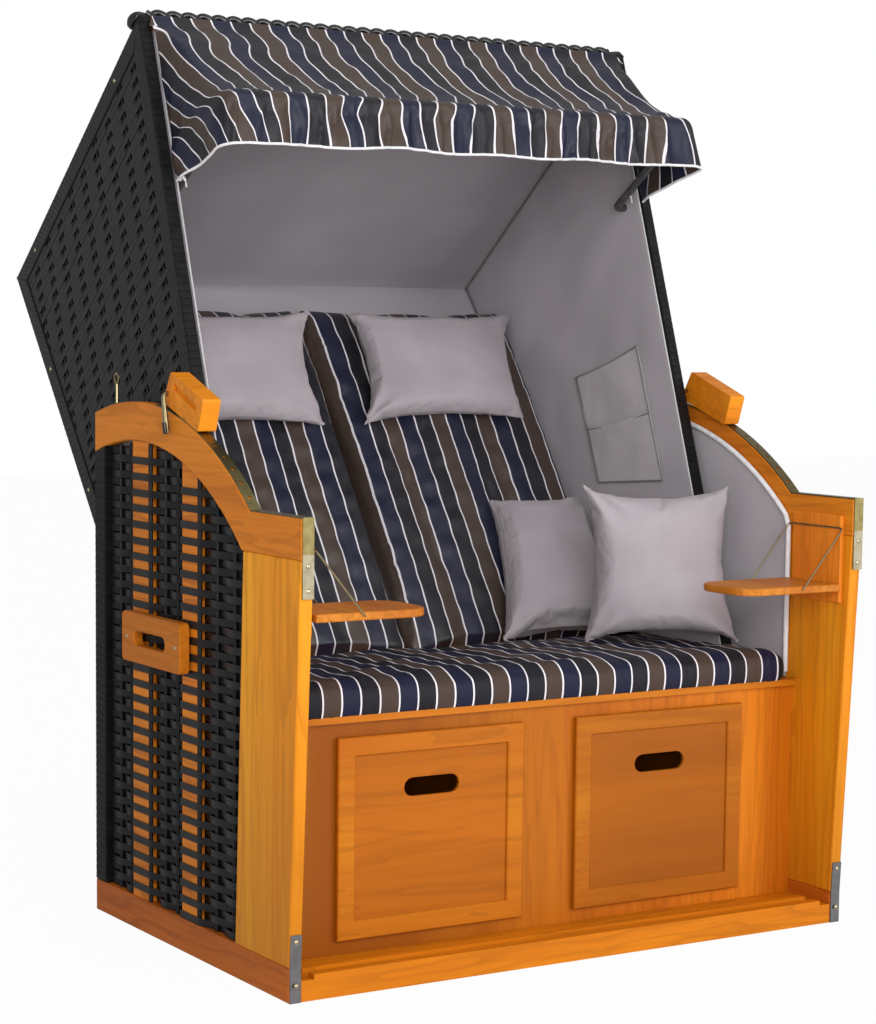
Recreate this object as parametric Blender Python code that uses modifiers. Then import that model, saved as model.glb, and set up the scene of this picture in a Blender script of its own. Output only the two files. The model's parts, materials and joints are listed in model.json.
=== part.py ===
"""Hooded beach chair: a wooden base with two drawers and a tilting hood, in metres, +Z up, front -Y."""

import math

import bmesh
import bpy
from mathutils import Matrix, Vector

# Overall sizes and general clearances
WIDTH = 1.2
DEPTH = 0.785
FIT = 0.0003
RUNNING_FIT = 0.0005
LONG_CUT = 0.05
ARC_STEP = math.radians(3)
SIDES = (("left", -1), ("right", 1))

# Hood pivot, seen from the side
PIVOT_Y = 0.6
PIVOT_Z = 0.3

# Base boards
BOARD = 0.024
EASE = 0.002
SIDE_RAIL_HEIGHT = 0.06
POST_WIDTH = 0.196
POST_TOP_WIDTH = 0.207
POST_LEAN = 0.037
RAIL_RADIUS = 0.687
RAIL_DEPTH = 0.071
RAIL_FLAT_TOP = 0.816
RAIL_FLAT_BELLY = 0.747
RAIL_FRONT = -0.038
REAR_POST_WIDTH = 0.047

# Woven side panels and their slats
PANEL_INSET = 0.001
SLAT_THICKNESS = 0.015
REAR_SLAT_GAPS = (0.185, 0.115)
FRONT_SLAT = (0.354, 0.414)
WEAVE_ROW = 0.01475
WINDOW_HEIGHT = 0.0124
WINDOW_INSET = 0.002

# Carry handle blocks
HANDLE_FRONT = 0.376
HANDLE_LENGTH = 0.246
HANDLE_LOW = 0.509
HANDLE_HEIGHT = 0.092
HANDLE_THICKNESS = 0.02
HANDLE_CORNER = 0.008
GRIP_LENGTH = 0.132
GRIP_HEIGHT = 0.027
GRIP_REAR_SHIFT = 0.006

# Latch strips and corner straps
STRIP_WIDTH = 0.021
STRIP_THICKNESS = 0.002
STRIP_REAR_Y = 0.52
STRIP_FRONT_DROP = 0.132
STRIP_HOLE_RADIUS = 0.0035
STRIP_HOLES = 9
STRIP_HOLE_TURN = math.radians(3.2)
STRAP_HEIGHT = 0.117

# Floor, rails and treads
FLOOR_TOP = 0.036
FLOOR_THICKNESS = 0.018
FRONT_RAIL_DEPTH = 0.022
TREAD_END_GAP = 0.025
TREAD_WIDTH = 0.02
TREAD_THICKNESS = 0.009
TREAD_FRONTS = (-0.001, 0.043)
RUNNER_TOP = 0.0747
RUNNER_WIDTH = 0.024
RUNNER_INNER_CENTRE = 0.1
RUNNER_OUTER_GAP = 0.176
REAR_PANEL_TOP = 0.42
REAR_PANEL_THICKNESS = 0.016
REAR_RAIL_DEPTH = 0.022

# Apron, seat board and divider
APRON_FRONT = 0.124
APRON_THICKNESS = 0.018
APRON_TOP = 0.446
APRON_OPENING_INNER = 0.075
APRON_OPENING_GAP = 0.151
APRON_OPENING_LOW = 0.072
APRON_OPENING_TOP = 0.415
SEAT_BOARD_THICKNESS = 0.012
SEAT_BOARD_FRONT = 0.112
SEAT_STEP_Y = 0.215
SEAT_BOARD_REAR = 0.63
SEAT_BOARD_REAR_GAP = 0.01
DIVIDER_THICKNESS = 0.024

# Footrest drawers
DRAWER_FRAME_LEFT = 0.058
DRAWER_FRAME_GAP = 0.133
DRAWER_FRAME_LOW = 0.062
DRAWER_FRAME_TOP = 0.42
DRAWER_FRAME_WIDTH = 0.034
DRAWER_FRAME_THICKNESS = 0.0117
DRAWER_PANEL_THICKNESS = 0.0067
DRAWER_SIDE_FIT = 0.003
DRAWER_BOX_TOP = 0.385
DRAWER_BOX_DEPTH = 0.528
DRAWER_WALL = 0.012
DRAWER_SLOT_LENGTH = 0.115
DRAWER_SLOT_HEIGHT = 0.034
DRAWER_SLOT_Z = 0.322
FOOT_PAD_THICKNESS = 0.025
FOOT_PAD_INSET = 0.006
FOOT_PAD_FRONT_GAP = 0.03

# Seat cushion
SEAT_SIDE_GAP = 0.0215
SEAT_REAR_GAP = 0.012
SEAT_FRONT = 0.1
SEAT_REAR = 0.532
SEAT_TOP = 0.515
SEAT_REAR_TOP = 0.505
SEAT_CROWN = 0.006

# Linings of the base sides, table plates, shelves and stays
LINING_STAND = 0.0095
LINING_LOW = 0.46
LINING_FRONT = 0.14
LINING_RAIL_LAP = 0.032
PLATE_FRONT = -0.015
PLATE_REAR = 0.125
PLATE_LOW = 0.619
PLATE_TOP = 0.784
SHELF_ROOT_GAP = 0.004
SHELF_LENGTH = 0.2275
SHELF_TOP = 0.6555
SHELF_THICKNESS = 0.014
SHELF_OVERHANG = 0.0064
SHELF_CORNER = 0.045
TABLE_HINGE_INSET = 0.001
STAY_RADIUS = 0.00175
STAY_Z = 0.761
STAY_DROP = 0.113
STAY_REACH = 0.0944

# Ring bolts on the arm rails
RING_REAR_GAP = 0.075
RING_RADIUS = 0.009
RING_WIRE = 0.0025
RING_SHAFT_RADIUS = 0.003
RING_SHAFT_HEIGHT = 0.04
RING_INSET = 0.012
RING_FLANGE_RADIUS = 0.008
RING_FLANGE_THICKNESS = 0.002

# Hood shell: the side outline's four corners, then its boards
HOOD_SIDE_GAP = 0.024
HOOD_BOARD = 0.024
HOOD_LOW_FRONT = (0.2617, 0.44)
HOOD_TOP_FRONT = (0.69, 1.697)
HOOD_BULGE = (1.289, 1.222)
HOOD_LOW_REAR = (0.694, 0.488)
HOOD_MEMBER = 0.04
HOOD_INFILL_LOW_FRONT_Z = 0.56
HOOD_INFILL_LOW_REAR_Z = 0.6
HOOD_WEAVE_INSET = 0.008
LUG_RADIUS = 0.06
HOOD_RAIL = 0.04
HOOD_RIDGE_RAIL = 0.03
HOOD_SKIN = 0.02
HOOD_SKIN_INSET = 0.001
HOOD_PAD = 0.006
BRAID_RADIUS = 0.018
BRAID_ALONG = 0.028
BRAID_INSET = 0.004

# Pivot bolts
BOLT_RADIUS = 0.006
BOLT_HEAD_RADIUS = 0.011
BOLT_HEAD_THICKNESS = 0.007
BOLT_BITE = 0.0025

# Pocket on the right lining
POCKET_CORNER_SPOTS = ((0.795, 1.025), (0.577, 1.095), (0.479, 0.824), (0.703, 0.807))
POCKET_THICKNESS = 0.008
POCKET_SEAM_SHARE = 0.53

# Back cushions and neck pillows
BACK_LEAN = math.radians(33.8)
BACK_LOW_Y = 0.598
BACK_LOW_Z = 0.49
BACK_HEIGHT = 0.8
BACK_SIDE_GAP = 0.012
BACK_MIDDLE_GAP = 0.003
BACK_CREASE = 0.014
NECK_WIDTH = 0.41
NECK_HEIGHT = 0.27
NECK_THICKNESS = 0.075
NECK_SHIFT = 0.003
NECK_UP = 0.67
NECK_PRESS = 0.0049

# Loose scatter pillows: corners low left, low right, top right, top left, as reach from the side board's
# inner face, depth and height
PILLOW_THICKNESS = 0.13
FRONT_PILLOW_SPOTS = (
    (0.341, 0.36, 0.5122), (0.041, 0.235, 0.5122), (0.046, 0.27, 0.83), (0.326, 0.39, 0.83),
)
REAR_PILLOW_SPOTS = (
    (0.426, 0.519, 0.5042), (0.086, 0.484, 0.5042), (0.073, 0.749, 0.781), (0.298, 0.779, 0.781),
)
REAR_PILLOW_THICKNESS = 0.1

# Guide rods and lock handles
ROD_RADIUS = 0.004
ROD_ABOVE = 0.031604
ROD_TURN = math.radians(10.747)
ROD_STAND = 0.0085
ROD_END_BELOW = 0.034233
ROD_END_TURN = math.radians(13.0144)
ROD_CAP = 0.02
ROD_CAP_SHARE = 1.45
ROD_BEND = 0.009
LOCK_THICKNESS = 0.035
LOCK_CORNER_ABOVES = (0.01299, 0.07256, 0.0642, 0.00431)
LOCK_CORNER_TURNS = tuple(map(math.radians, (9.4973, 11.236, 21.6711, 21.9045)))
LOCK_CORNER = 0.004
LOCK_GROOVE_ABOVES = (0.04927, 0.04016)
LOCK_GROOVE_TURNS = tuple(map(math.radians, (12.7905, 19.6061)))
LOCK_GROOVE_WIDTH = 0.012
LOCK_GROOVE_DEPTH = 0.005

# Awning bow and cloth
BOW_PIVOT = (0.633, 1.379)
BOW_RIDGE = (0.414, 1.528)
BOW_RADIUS = 0.008
BOW_SIDE_GAP = 0.028
BOW_BEND = 0.03
BOW_PIN_GAP = 0.0003
CLOTH_SIDE_GAP = 0.015
CLOTH_THICKNESS = 0.003
CLOTH_FIXED_SPOTS = ((0.6835, 1.692), (0.6655, 1.674))
CLOTH_TOP_SPOTS = CLOTH_FIXED_SPOTS + ((0.62, 1.648), (0.53, 1.584), (0.45, 1.553), (0.405, 1.543))
CLOTH_FLAP_START = len(CLOTH_FIXED_SPOTS) - 1
CLOTH_HEM_SPOTS = ((0.399, 1.51), (0.392, 1.452))
CLOTH_TIE_SPOT = (0.572, 1.375)
CLOTH_SAG = 0.006
CLOTH_COLUMNS = 12

# Step counts of round shapes and bends
CORNER_STEPS = 3
SMALL_CORNER_STEPS = 2
SHELF_CORNER_STEPS = 5
STADIUM_STEPS = 6
GROOVE_END_STEPS = 4
CIRCLE_STEPS = 16
LUG_STEPS = 8
HOLE_STEPS = 10
RING_STEPS = 14
BEND_STEPS = 4
STAY_BEND_STEPS = 3
SMOOTH_ANGLE = math.radians(40)

# Shares along and across the cushions' cages, and of their thickness
SEAT_ROW_SHARES = (0.0, 0.04, 0.14, 0.235, 0.275, 0.55, 0.8, 0.96, 1.0)
SEAT_COLUMN_SHARES = (-1.0, -0.965, -0.8, -0.55, -0.3, -0.1, 0.1, 0.3, 0.55, 0.8, 0.965, 1.0)
SEAT_EDGE_DROP_SHARE = 0.2
SEAT_EDGE_RISE_SHARE = 0.1
SEAT_CROWN_POWER = 4
FOOT_PAD_SHARES = (0.0, 0.06, 0.5, 0.94, 1.0)
FOOT_PAD_EDGE_TOP_SHARE = 0.72
FOOT_PAD_EDGE_LOW_SHARE = 0.2
BACK_COLUMN_SHARES = (0.0, 0.03, 0.125, 0.235, 0.27, 0.305, 0.47, 0.635, 0.67, 0.705, 0.82, 0.97, 1.0)
BACK_ROW_SHARES = (0.0, 0.05, 0.3, 0.6, 0.9, 1.0)
BACK_CREASES = (4, 8)
BACK_EDGE_FRONT_SHARE = 0.18
BACK_EDGE_REAR_SHARE = 0.9
PILLOW_SHARES = (-1.0, -0.88, -0.5, 0.0, 0.5, 0.88, 1.0)
PILLOW_PINCH_SHARE = 0.07
PILLOW_RIM_SHARE = 0.1
PILLOW_FULLNESS_POWER = 0.4

# Other shares
GROOVE_SHARE = 0.85
BRAID_END_SHARE = 0.7
BRAID_END_LENGTH_SHARE = 1 / 3
BOW_FOOT_BEND_SHARE = 1.2
TREAD_SUNK_SHARE = 0.25

# Derived levels
SIDE_OUT = WIDTH / 2
SIDE_IN = SIDE_OUT - BOARD
CLEAR_IN = SIDE_IN - FIT
SIDE_MID = SIDE_OUT - BOARD / 2
SEAT_BOARD_LOW = APRON_TOP + FIT
SEAT_BOARD_TOP = SEAT_BOARD_LOW + SEAT_BOARD_THICKNESS
APRON_REAR = APRON_FRONT + APRON_THICKNESS
REAR_POST_FRONT = DEPTH - REAR_POST_WIDTH
RING_Y = DEPTH - RING_REAR_GAP
REAR_SLAT = tuple(REAR_POST_FRONT - gap for gap in REAR_SLAT_GAPS)
RUNNER_CENTRES = (RUNNER_INNER_CENTRE, SIDE_IN - RUNNER_OUTER_GAP)
APRON_OPENING = (APRON_OPENING_INNER, SIDE_IN - APRON_OPENING_GAP)
DRAWER_FRAME_RIGHT = SIDE_IN - DRAWER_FRAME_GAP
RAIL_BELLY_RADIUS = RAIL_RADIUS - RAIL_DEPTH
LINING_RADIUS = RAIL_RADIUS - LINING_RAIL_LAP
LINING_INNER = SIDE_IN - LINING_STAND
SHELF_ROOT = LINING_INNER - SHELF_ROOT_GAP
SHELF_TIP = SHELF_ROOT - SHELF_LENGTH
TABLE_HINGE_X = LINING_INNER - TABLE_HINGE_INSET
TREAD_HALF_LENGTH = SIDE_IN - TREAD_END_GAP
SEAT_HALF = LINING_INNER - SEAT_SIDE_GAP
HOOD_HALF = SIDE_IN - HOOD_SIDE_GAP
HOOD_IN = HOOD_HALF - HOOD_BOARD
HOOD_LINING_IN = HOOD_IN - FIT - HOOD_PAD
BRAID_HALF = HOOD_HALF - BRAID_INSET
SEAT_REAR_HALF = HOOD_IN - SEAT_REAR_GAP
SEAT_BOARD_REAR_HALF = HOOD_IN - SEAT_BOARD_REAR_GAP
BACK_HALF = HOOD_IN - BACK_SIDE_GAP
NECK_CENTRE = BACK_HALF / 2 - NECK_SHIFT
CLOTH_HALF = HOOD_IN - CLOTH_SIDE_GAP
BOW_HALF = HOOD_IN - BOW_SIDE_GAP
ROD_OUT = SIDE_OUT + ROD_STAND
LOCK_INNER = SIDE_OUT - LOCK_THICKNESS
BOX_LEFT = APRON_OPENING[0] + DRAWER_SIDE_FIT
BOX_RIGHT = APRON_OPENING[1] - DRAWER_SIDE_FIT
BOX_LOW = RUNNER_TOP + FIT
BOX_FRONT = APRON_FRONT


def clear_scene():
    for thing in list(bpy.data.objects):
        bpy.data.objects.remove(thing, do_unlink=True)


def new_collection(name, hidden=False):
    found = bpy.data.collections.new(name)
    found.hide_render = hidden
    bpy.context.scene.collection.children.link(found)
    return found


def material(name, colour, roughness, metallic=0.0):
    made = bpy.data.materials.new(name)
    made.use_nodes = True
    shader = made.node_tree.nodes["Principled BSDF"]
    shader.inputs["Base Color"].default_value = (*colour, 1.0)
    shader.inputs["Roughness"].default_value = roughness
    shader.inputs["Metallic"].default_value = metallic
    made.diffuse_color = (*colour, 1.0)
    return made


def empty(name, place, parent=None):
    made = bpy.data.objects.new(name, None)
    PARTS.objects.link(made)
    made.parent = parent
    made.location = place
    bpy.context.view_layer.update()
    return made


def placed(thing, look, carrier):
    """Links a finished object, colours it and hangs it on its carrier without moving it within the frame."""
    PARTS.objects.link(thing)
    thing.data.materials.clear()
    thing.data.materials.append(look)
    thing.parent = carrier
    offset = carrier.matrix_world.inverted() @ FRAME.matrix_world
    thing.matrix_parent_inverse = offset
    return thing


# Flat outlines
def arc_point(radius, turn):
    return (PIVOT_Y - radius * math.sin(turn), PIVOT_Z + radius * math.cos(turn))


def above_rail(stand_off, turn):
    """A spot (y, z) that stands off the arm rail's outer arc, at a turn forward of upright."""
    radius = RAIL_RADIUS + stand_off
    return PIVOT_Y - radius * math.sin(turn), PIVOT_Z + radius * math.cos(turn)


def turn_at(radius, y):
    return math.asin((PIVOT_Y - y) / radius)


def turn_at_height(radius, z):
    return math.acos((z - PIVOT_Z) / radius)


def arc_run(radius, start, end):
    """Points on a circle round the hood pivot, from one turn to the other."""
    steps = max(1, math.ceil(abs(end - start) / ARC_STEP))
    return [arc_point(radius, start + (end - start) * i / steps) for i in range(steps + 1)]


def rectangle(low_u, high_u, low_v, high_v):
    return [(low_u, low_v), (high_u, low_v), (high_u, high_v), (low_u, high_v)]


def rounded(points, radius, steps=CORNER_STEPS):
    """A closed outline with each corner replaced by an arc that touches both of its edges."""
    count = len(points)
    made = []
    for i in range(count):
        corner = Vector(points[i])
        before = (Vector(points[i - 1]) - corner).normalized()
        after = (Vector(points[(i + 1) % count]) - corner).normalized()
        half = before.angle(after) / 2
        middle = corner + (before + after).normalized() * radius / math.sin(half)
        start = corner + before * radius / math.tan(half) - middle
        end = corner + after * radius / math.tan(half) - middle
        sweep = start.angle_signed(end)
        for k in range(steps + 1):
            made.append(tuple(middle + Matrix.Rotation(-sweep * k / steps, 2) @ start))
    return made


def stadium(start, end, width, steps=STADIUM_STEPS):
    """A slot outline: two half circles joined by straight sides."""
    a = Vector(start)
    b = Vector(end)
    along = (b - a).normalized()
    across = Vector((-along.y, along.x))
    made = []
    for centre, way in ((a, 1), (b, -1)):
        for k in range(steps + 1):
            turn = math.pi * k / steps
            spoke = (across * math.cos(turn) - along * math.sin(turn)) * way
            made.append(tuple(centre + spoke * width / 2))
    return made


def circle(centre, radius, steps=CIRCLE_STEPS):
    turns = [2 * math.pi * k / steps for k in range(steps)]
    return [(centre[0] + radius * math.cos(t), centre[1] + radius * math.sin(t)) for t in turns]


AXIS_TURNS = {
    "X": (math.pi / 2, 0, math.pi / 2),
    "Y": (math.pi / 2, 0, 0),
    "Z": (0, 0, 0),
}
AXIS_SPOTS = {"X": (1, 0, 0), "Y": (0, 1, 0), "Z": (0, 0, 1)}


def slab(name, loops, axis, low, high, ease=0.0):
    """A flat outline with holes, extruded along an axis between two levels, with eased edges if asked."""
    curve = bpy.data.curves.new(name, "CURVE")
    curve.dimensions = "2D"
    curve.fill_mode = "BOTH"
    curve.extrude = abs(high - low) / 2 - ease
    curve.bevel_depth = ease
    curve.bevel_resolution = 0
    curve.offset = -ease
    for loop in loops:
        spline = curve.splines.new("POLY")
        spline.points.add(len(loop) - 1)
        for point, spot in zip(spline.points, loop):
            point.co = (spot[0], spot[1], 0, 1)
        spline.use_cyclic_u = True
    guide = bpy.data.objects.new(name + "_guide", curve)
    guide.rotation_euler = AXIS_TURNS[axis]
    guide.location = Vector(AXIS_SPOTS[axis]) * (low + high) / 2
    return meshed(name, guide)


def meshed(name, guide):
    """The mesh of a curve object, welded at its caps, as a new object in the place of the guide."""
    GUIDES.objects.link(guide)
    bpy.context.view_layer.update()
    mesh = bpy.data.meshes.new_from_object(guide.evaluated_get(bpy.context.evaluated_depsgraph_get()))
    mesh.transform(guide.matrix_world)
    mesh.name = name
    bpy.data.objects.remove(guide, do_unlink=True)
    shape = bmesh.new()
    shape.from_mesh(mesh)
    bmesh.ops.remove_doubles(shape, verts=shape.verts, dist=FIT / 10)
    bmesh.ops.recalc_face_normals(shape, faces=shape.faces)
    shape.to_mesh(mesh)
    shape.free()
    return bpy.data.objects.new(name, mesh)


def tube(name, points, radius, sizes=None, resolution=2, closed=False):
    """A round bar along a path of points, with flat ends."""
    curve = bpy.data.curves.new(name, "CURVE")
    curve.dimensions = "3D"
    curve.bevel_depth = radius
    curve.bevel_resolution = resolution
    curve.use_fill_caps = not closed
    spline = curve.splines.new("POLY")
    spline.points.add(len(points) - 1)
    for i, spot in enumerate(points):
        spline.points[i].co = (*spot, 1)
        spline.points[i].radius = sizes[i] if sizes else 1
    spline.use_cyclic_u = closed
    made = meshed(name, bpy.data.objects.new(name + "_guide", curve))
    smooth(made)
    return made


def bent(points, radius, steps=BEND_STEPS):
    """An open path with its inner corners rounded."""
    made = [Vector(points[0])]
    for i in range(1, len(points) - 1):
        corner = Vector(points[i])
        before = (Vector(points[i - 1]) - corner).normalized()
        after = (Vector(points[i + 1]) - corner).normalized()
        for k in range(steps + 1):
            share = k / steps
            blend = before * (1 - share) ** 2 + after * share**2
            made.append(corner + blend * radius)
    return made + [Vector(points[-1])]


def smooth(thing):
    for face in thing.data.polygons:
        face.use_smooth = True
    thing.data.set_sharp_from_angle(angle=SMOOTH_ANGLE)


def bar(name, centre, radius, low, high):
    """A cylinder along X."""
    return slab(name, [circle(centre, radius)], "X", low, high)


def boxes(name, extents):
    """Several boxes in one mesh, each given as low and high corners."""
    shape = bmesh.new()
    for low, high in extents:
        size = [h - l for l, h in zip(low, high)]
        middle = [(l + h) / 2 for l, h in zip(low, high)]
        bmesh.ops.create_cube(shape, size=1, matrix=Matrix.Translation(middle) @ Matrix.Diagonal((*size, 1)))
    mesh = bpy.data.meshes.new(name)
    shape.to_mesh(mesh)
    shape.free()
    return bpy.data.objects.new(name, mesh)


def cut(thing, cutter, operation="DIFFERENCE"):
    """A live Boolean with a cutter that is kept hidden in its own collection."""
    cutter.name = thing.name + "_tool_" + str(len(thing.modifiers))
    CUTTERS.objects.link(cutter)
    cutter.hide_render = True
    cutter.display_type = "WIRE"
    cutter.parent = FRAME
    modifier = thing.modifiers.new(operation.title(), "BOOLEAN")
    modifier.operation = operation
    modifier.solver = "EXACT"
    modifier.object = cutter
    return thing


def both(side, inner, outer):
    """The low and high x of a piece that lies between two distances from the middle plane."""
    return min(side * inner, side * outer), max(side * inner, side * outer)


def pad(name, upper, lower):
    """A closed cage from two sheets of points, row by row, joined round their rim and subdivided."""
    rows = len(upper)
    columns = len(upper[0])
    spots = [tuple(p) for sheet in (upper, lower) for row in sheet for p in row]
    sheet = rows * columns
    faces = []
    for r in range(rows - 1):
        for c in range(columns - 1):
            a = r * columns + c
            faces.append((a, a + 1, a + columns + 1, a + columns))
            faces.append((sheet + a, sheet + a + columns, sheet + a + columns + 1, sheet + a + 1))
    rim = [c for c in range(columns)]
    rim += [r * columns + columns - 1 for r in range(1, rows)]
    rim += [(rows - 1) * columns + c for c in range(columns - 2, -1, -1)]
    rim += [r * columns for r in range(rows - 2, 0, -1)]
    for a, b in zip(rim, rim[1:] + rim[:1]):
        faces.append((b, a, sheet + a, sheet + b))
    mesh = bpy.data.meshes.new(name)
    mesh.from_pydata(spots, [], faces)
    shape = bmesh.new()
    shape.from_mesh(mesh)
    bmesh.ops.recalc_face_normals(shape, faces=shape.faces)
    shape.to_mesh(mesh)
    shape.free()
    thing = bpy.data.objects.new(name, mesh)
    rounding = thing.modifiers.new("Subdivision", "SUBSURF")
    rounding.levels = 1
    rounding.render_levels = 1
    for face in mesh.polygons:
        face.use_smooth = True
    return thing


# Base frame
def post_edge(z, rear):
    """The y of a leaning front post's edge at a height."""
    share = (z - SIDE_RAIL_HEIGHT) / (RAIL_FLAT_BELLY - SIDE_RAIL_HEIGHT)
    width = POST_WIDTH + (POST_TOP_WIDTH - POST_WIDTH) * share
    return -POST_LEAN * share + (width if rear else 0)


def belly_z(y):
    """The height of the arm rail's underside."""
    return PIVOT_Z + math.sqrt(RAIL_BELLY_RADIUS**2 - (y - PIVOT_Y) ** 2)


def side_frame(word, side):
    """The bottom rail with its two slats let in, the leaning front post, the rear post and the arm rail."""
    low, high = both(side, SIDE_IN, SIDE_OUT)
    foot = SIDE_RAIL_HEIGHT + FIT
    head = RAIL_FLAT_BELLY - FIT
    rail = slab("side_rail_" + word, [rectangle(0, DEPTH, 0, SIDE_RAIL_HEIGHT)], "X", low, high, EASE)
    tenon = SIDE_RAIL_HEIGHT / 2
    slats = []
    for front, rear in (FRONT_SLAT, REAR_SLAT):
        heads = [(rear, belly_z(rear) - FIT), (front, belly_z(front) - FIT)]
        slats.append([(front, tenon), (rear, tenon)] + heads)
    slat_low, slat_high = both(side, SIDE_MID - SLAT_THICKNESS / 2, SIDE_MID + SLAT_THICKNESS / 2)
    cut(rail, slab("slats", slats, "X", slat_low, slat_high), "UNION")
    face = SIDE_MID - SLAT_THICKNESS / 2
    hole = both(side, face - LONG_CUT, face + 2 * BOLT_BITE)
    cut(rail, bar("hole", (PIVOT_Y, PIVOT_Z), BOLT_RADIUS + RUNNING_FIT, *hole))
    placed(rail, PINE, BASE)
    post = [
        (post_edge(foot, False), foot),
        (post_edge(foot, True), foot),
        (post_edge(head, True), head),
        (post_edge(head, False), head),
    ]
    placed(slab("front_post_" + word, [post], "X", low, high, EASE), PINE, BASE)
    rear = [
        (REAR_POST_FRONT, foot),
        (DEPTH, foot),
        (DEPTH, belly_z(DEPTH) - FIT),
        (REAR_POST_FRONT, belly_z(REAR_POST_FRONT) - FIT),
    ]
    placed(slab("rear_post_" + word, [rear], "X", low, high, EASE), WEAVE, BASE)
    top = arc_run(RAIL_RADIUS, turn_at_height(RAIL_RADIUS, RAIL_FLAT_TOP), turn_at(RAIL_RADIUS, DEPTH))
    belly = arc_run(
        RAIL_BELLY_RADIUS,
        turn_at(RAIL_BELLY_RADIUS, DEPTH),
        turn_at_height(RAIL_BELLY_RADIUS, RAIL_FLAT_BELLY),
    )
    arm = [(RAIL_FRONT, RAIL_FLAT_BELLY), (RAIL_FRONT, RAIL_FLAT_TOP)] + top + belly
    placed(slab("arm_rail_" + word, [arm], "X", low, high, EASE), PINE, BASE)


def side_weave(word, side):
    """The woven panel: each slat runs in an upright tunnel and shows through windows on both faces."""
    low, high = both(side, SIDE_IN + PANEL_INSET, SIDE_OUT - PANEL_INSET)
    foot = SIDE_RAIL_HEIGHT + FIT
    head = RAIL_FLAT_BELLY - FIT
    radius = RAIL_BELLY_RADIUS - FIT
    rear = REAR_POST_FRONT - FIT
    arc = arc_run(radius, turn_at_height(radius, head), turn_at(radius, rear))
    outline = [(post_edge(head, True) + FIT, head), (post_edge(foot, True) + FIT, foot), (rear, foot)]
    panel = slab("side_weave_" + word, [outline + arc[::-1]], "X", low, high)
    half = SLAT_THICKNESS / 2 + FIT
    tunnels = []
    windows = []
    for turn, (front, back) in enumerate((FRONT_SLAT, REAR_SLAT)):
        tunnel = both(side, SIDE_MID - half, SIDE_MID + half)
        tunnels.append(((tunnel[0], front - FIT, 0), (tunnel[1], back + FIT, RAIL_RADIUS + PIVOT_Z)))
        ceiling = min(belly_z(front), belly_z(back)) - WEAVE_ROW
        rows = int((ceiling - foot) / WEAVE_ROW)
        for row in range(rows):
            middle = foot + (row + 1) * WEAVE_ROW
            outwards = (row + turn) % 2 == 0
            skin = (SIDE_MID, SIDE_OUT + LONG_CUT) if outwards else (SIDE_IN - LONG_CUT, SIDE_MID)
            reach = both(side, *skin)
            lower = (reach[0], front + WINDOW_INSET, middle - WINDOW_HEIGHT / 2)
            upper = (reach[1], back - WINDOW_INSET, middle + WINDOW_HEIGHT / 2)
            windows.append((lower, upper))
    cut(panel, boxes("tunnels", tunnels))
    cut(panel, boxes("windows", windows))
    hole = both(side, SIDE_IN - LONG_CUT, SIDE_MID)
    cut(panel, bar("hole", (PIVOT_Y, PIVOT_Z), BOLT_HEAD_RADIUS + RUNNING_FIT, *hole))
    placed(panel, WEAVE, BASE)


def carry_handle(word, side):
    face = SIDE_OUT - PANEL_INSET + FIT
    low, high = both(side, face, face + HANDLE_THICKNESS)
    outer = rectangle(HANDLE_FRONT, HANDLE_FRONT + HANDLE_LENGTH, HANDLE_LOW, HANDLE_LOW + HANDLE_HEIGHT)
    middle = HANDLE_FRONT + HANDLE_LENGTH / 2 + GRIP_REAR_SHIFT
    level = HANDLE_LOW + HANDLE_HEIGHT / 2
    reach = (GRIP_LENGTH - GRIP_HEIGHT) / 2
    grip = stadium((middle - reach, level), (middle + reach, level), GRIP_HEIGHT)
    made = slab("carry_handle_" + word, [rounded(outer, HANDLE_CORNER), grip], "X", low, high, EASE)
    placed(made, PINE, BASE)


def latch_strip(word, side):
    """A perforated metal band that follows the arm rail's top, its flat nose and the front of the post."""
    low, high = both(side, SIDE_MID - STRIP_WIDTH / 2, SIDE_MID + STRIP_WIDTH / 2)
    inner = RAIL_RADIUS + FIT
    outer = inner + STRIP_THICKNESS
    flat_low = RAIL_FLAT_TOP + FIT
    flat_high = flat_low + STRIP_THICKNESS
    face = RAIL_FRONT - FIT
    nose = face - STRIP_THICKNESS
    foot = RAIL_FLAT_TOP - STRIP_FRONT_DROP
    under = arc_run(inner, turn_at(inner, STRIP_REAR_Y), turn_at_height(inner, flat_low))
    over = arc_run(outer, turn_at_height(outer, flat_high), turn_at(outer, STRIP_REAR_Y))
    outline = under + [(face, flat_low), (face, foot), (nose, foot), (nose, flat_high)] + over
    strip = slab("latch_strip_" + word, [outline], "X", low, high)
    for number in range(STRIP_HOLES):
        turn = turn_at(inner, STRIP_REAR_Y) + STRIP_HOLE_TURN * (number + 2)
        spot = arc_point((inner + outer) / 2, turn)
        shape = bmesh.new()
        radius = STRIP_HOLE_RADIUS
        bmesh.ops.create_cone(
            shape, cap_ends=True, segments=HOLE_STEPS, radius1=radius, radius2=radius, depth=BOARD,
            matrix=Matrix.Translation((side * SIDE_MID, *spot)) @ Matrix.Rotation(turn, 4, "X"),
        )
        mesh = bpy.data.meshes.new("hole")
        shape.to_mesh(mesh)
        shape.free()
        cut(strip, bpy.data.objects.new("hole", mesh))
    placed(strip, BRASS, BASE)


def corner_strap(word, side):
    low, high = both(side, SIDE_MID - STRIP_WIDTH / 2, SIDE_MID + STRIP_WIDTH / 2)
    foot = SIDE_RAIL_HEIGHT + FIT
    inner = [(-FIT, 0), (-FIT, foot), (post_edge(STRAP_HEIGHT, False) - FIT, STRAP_HEIGHT)]
    outer = [(y - STRIP_THICKNESS, z) for y, z in inner[::-1]]
    placed(slab("corner_strap_" + word, [inner + outer], "X", low, high), STEEL, BASE)


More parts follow.
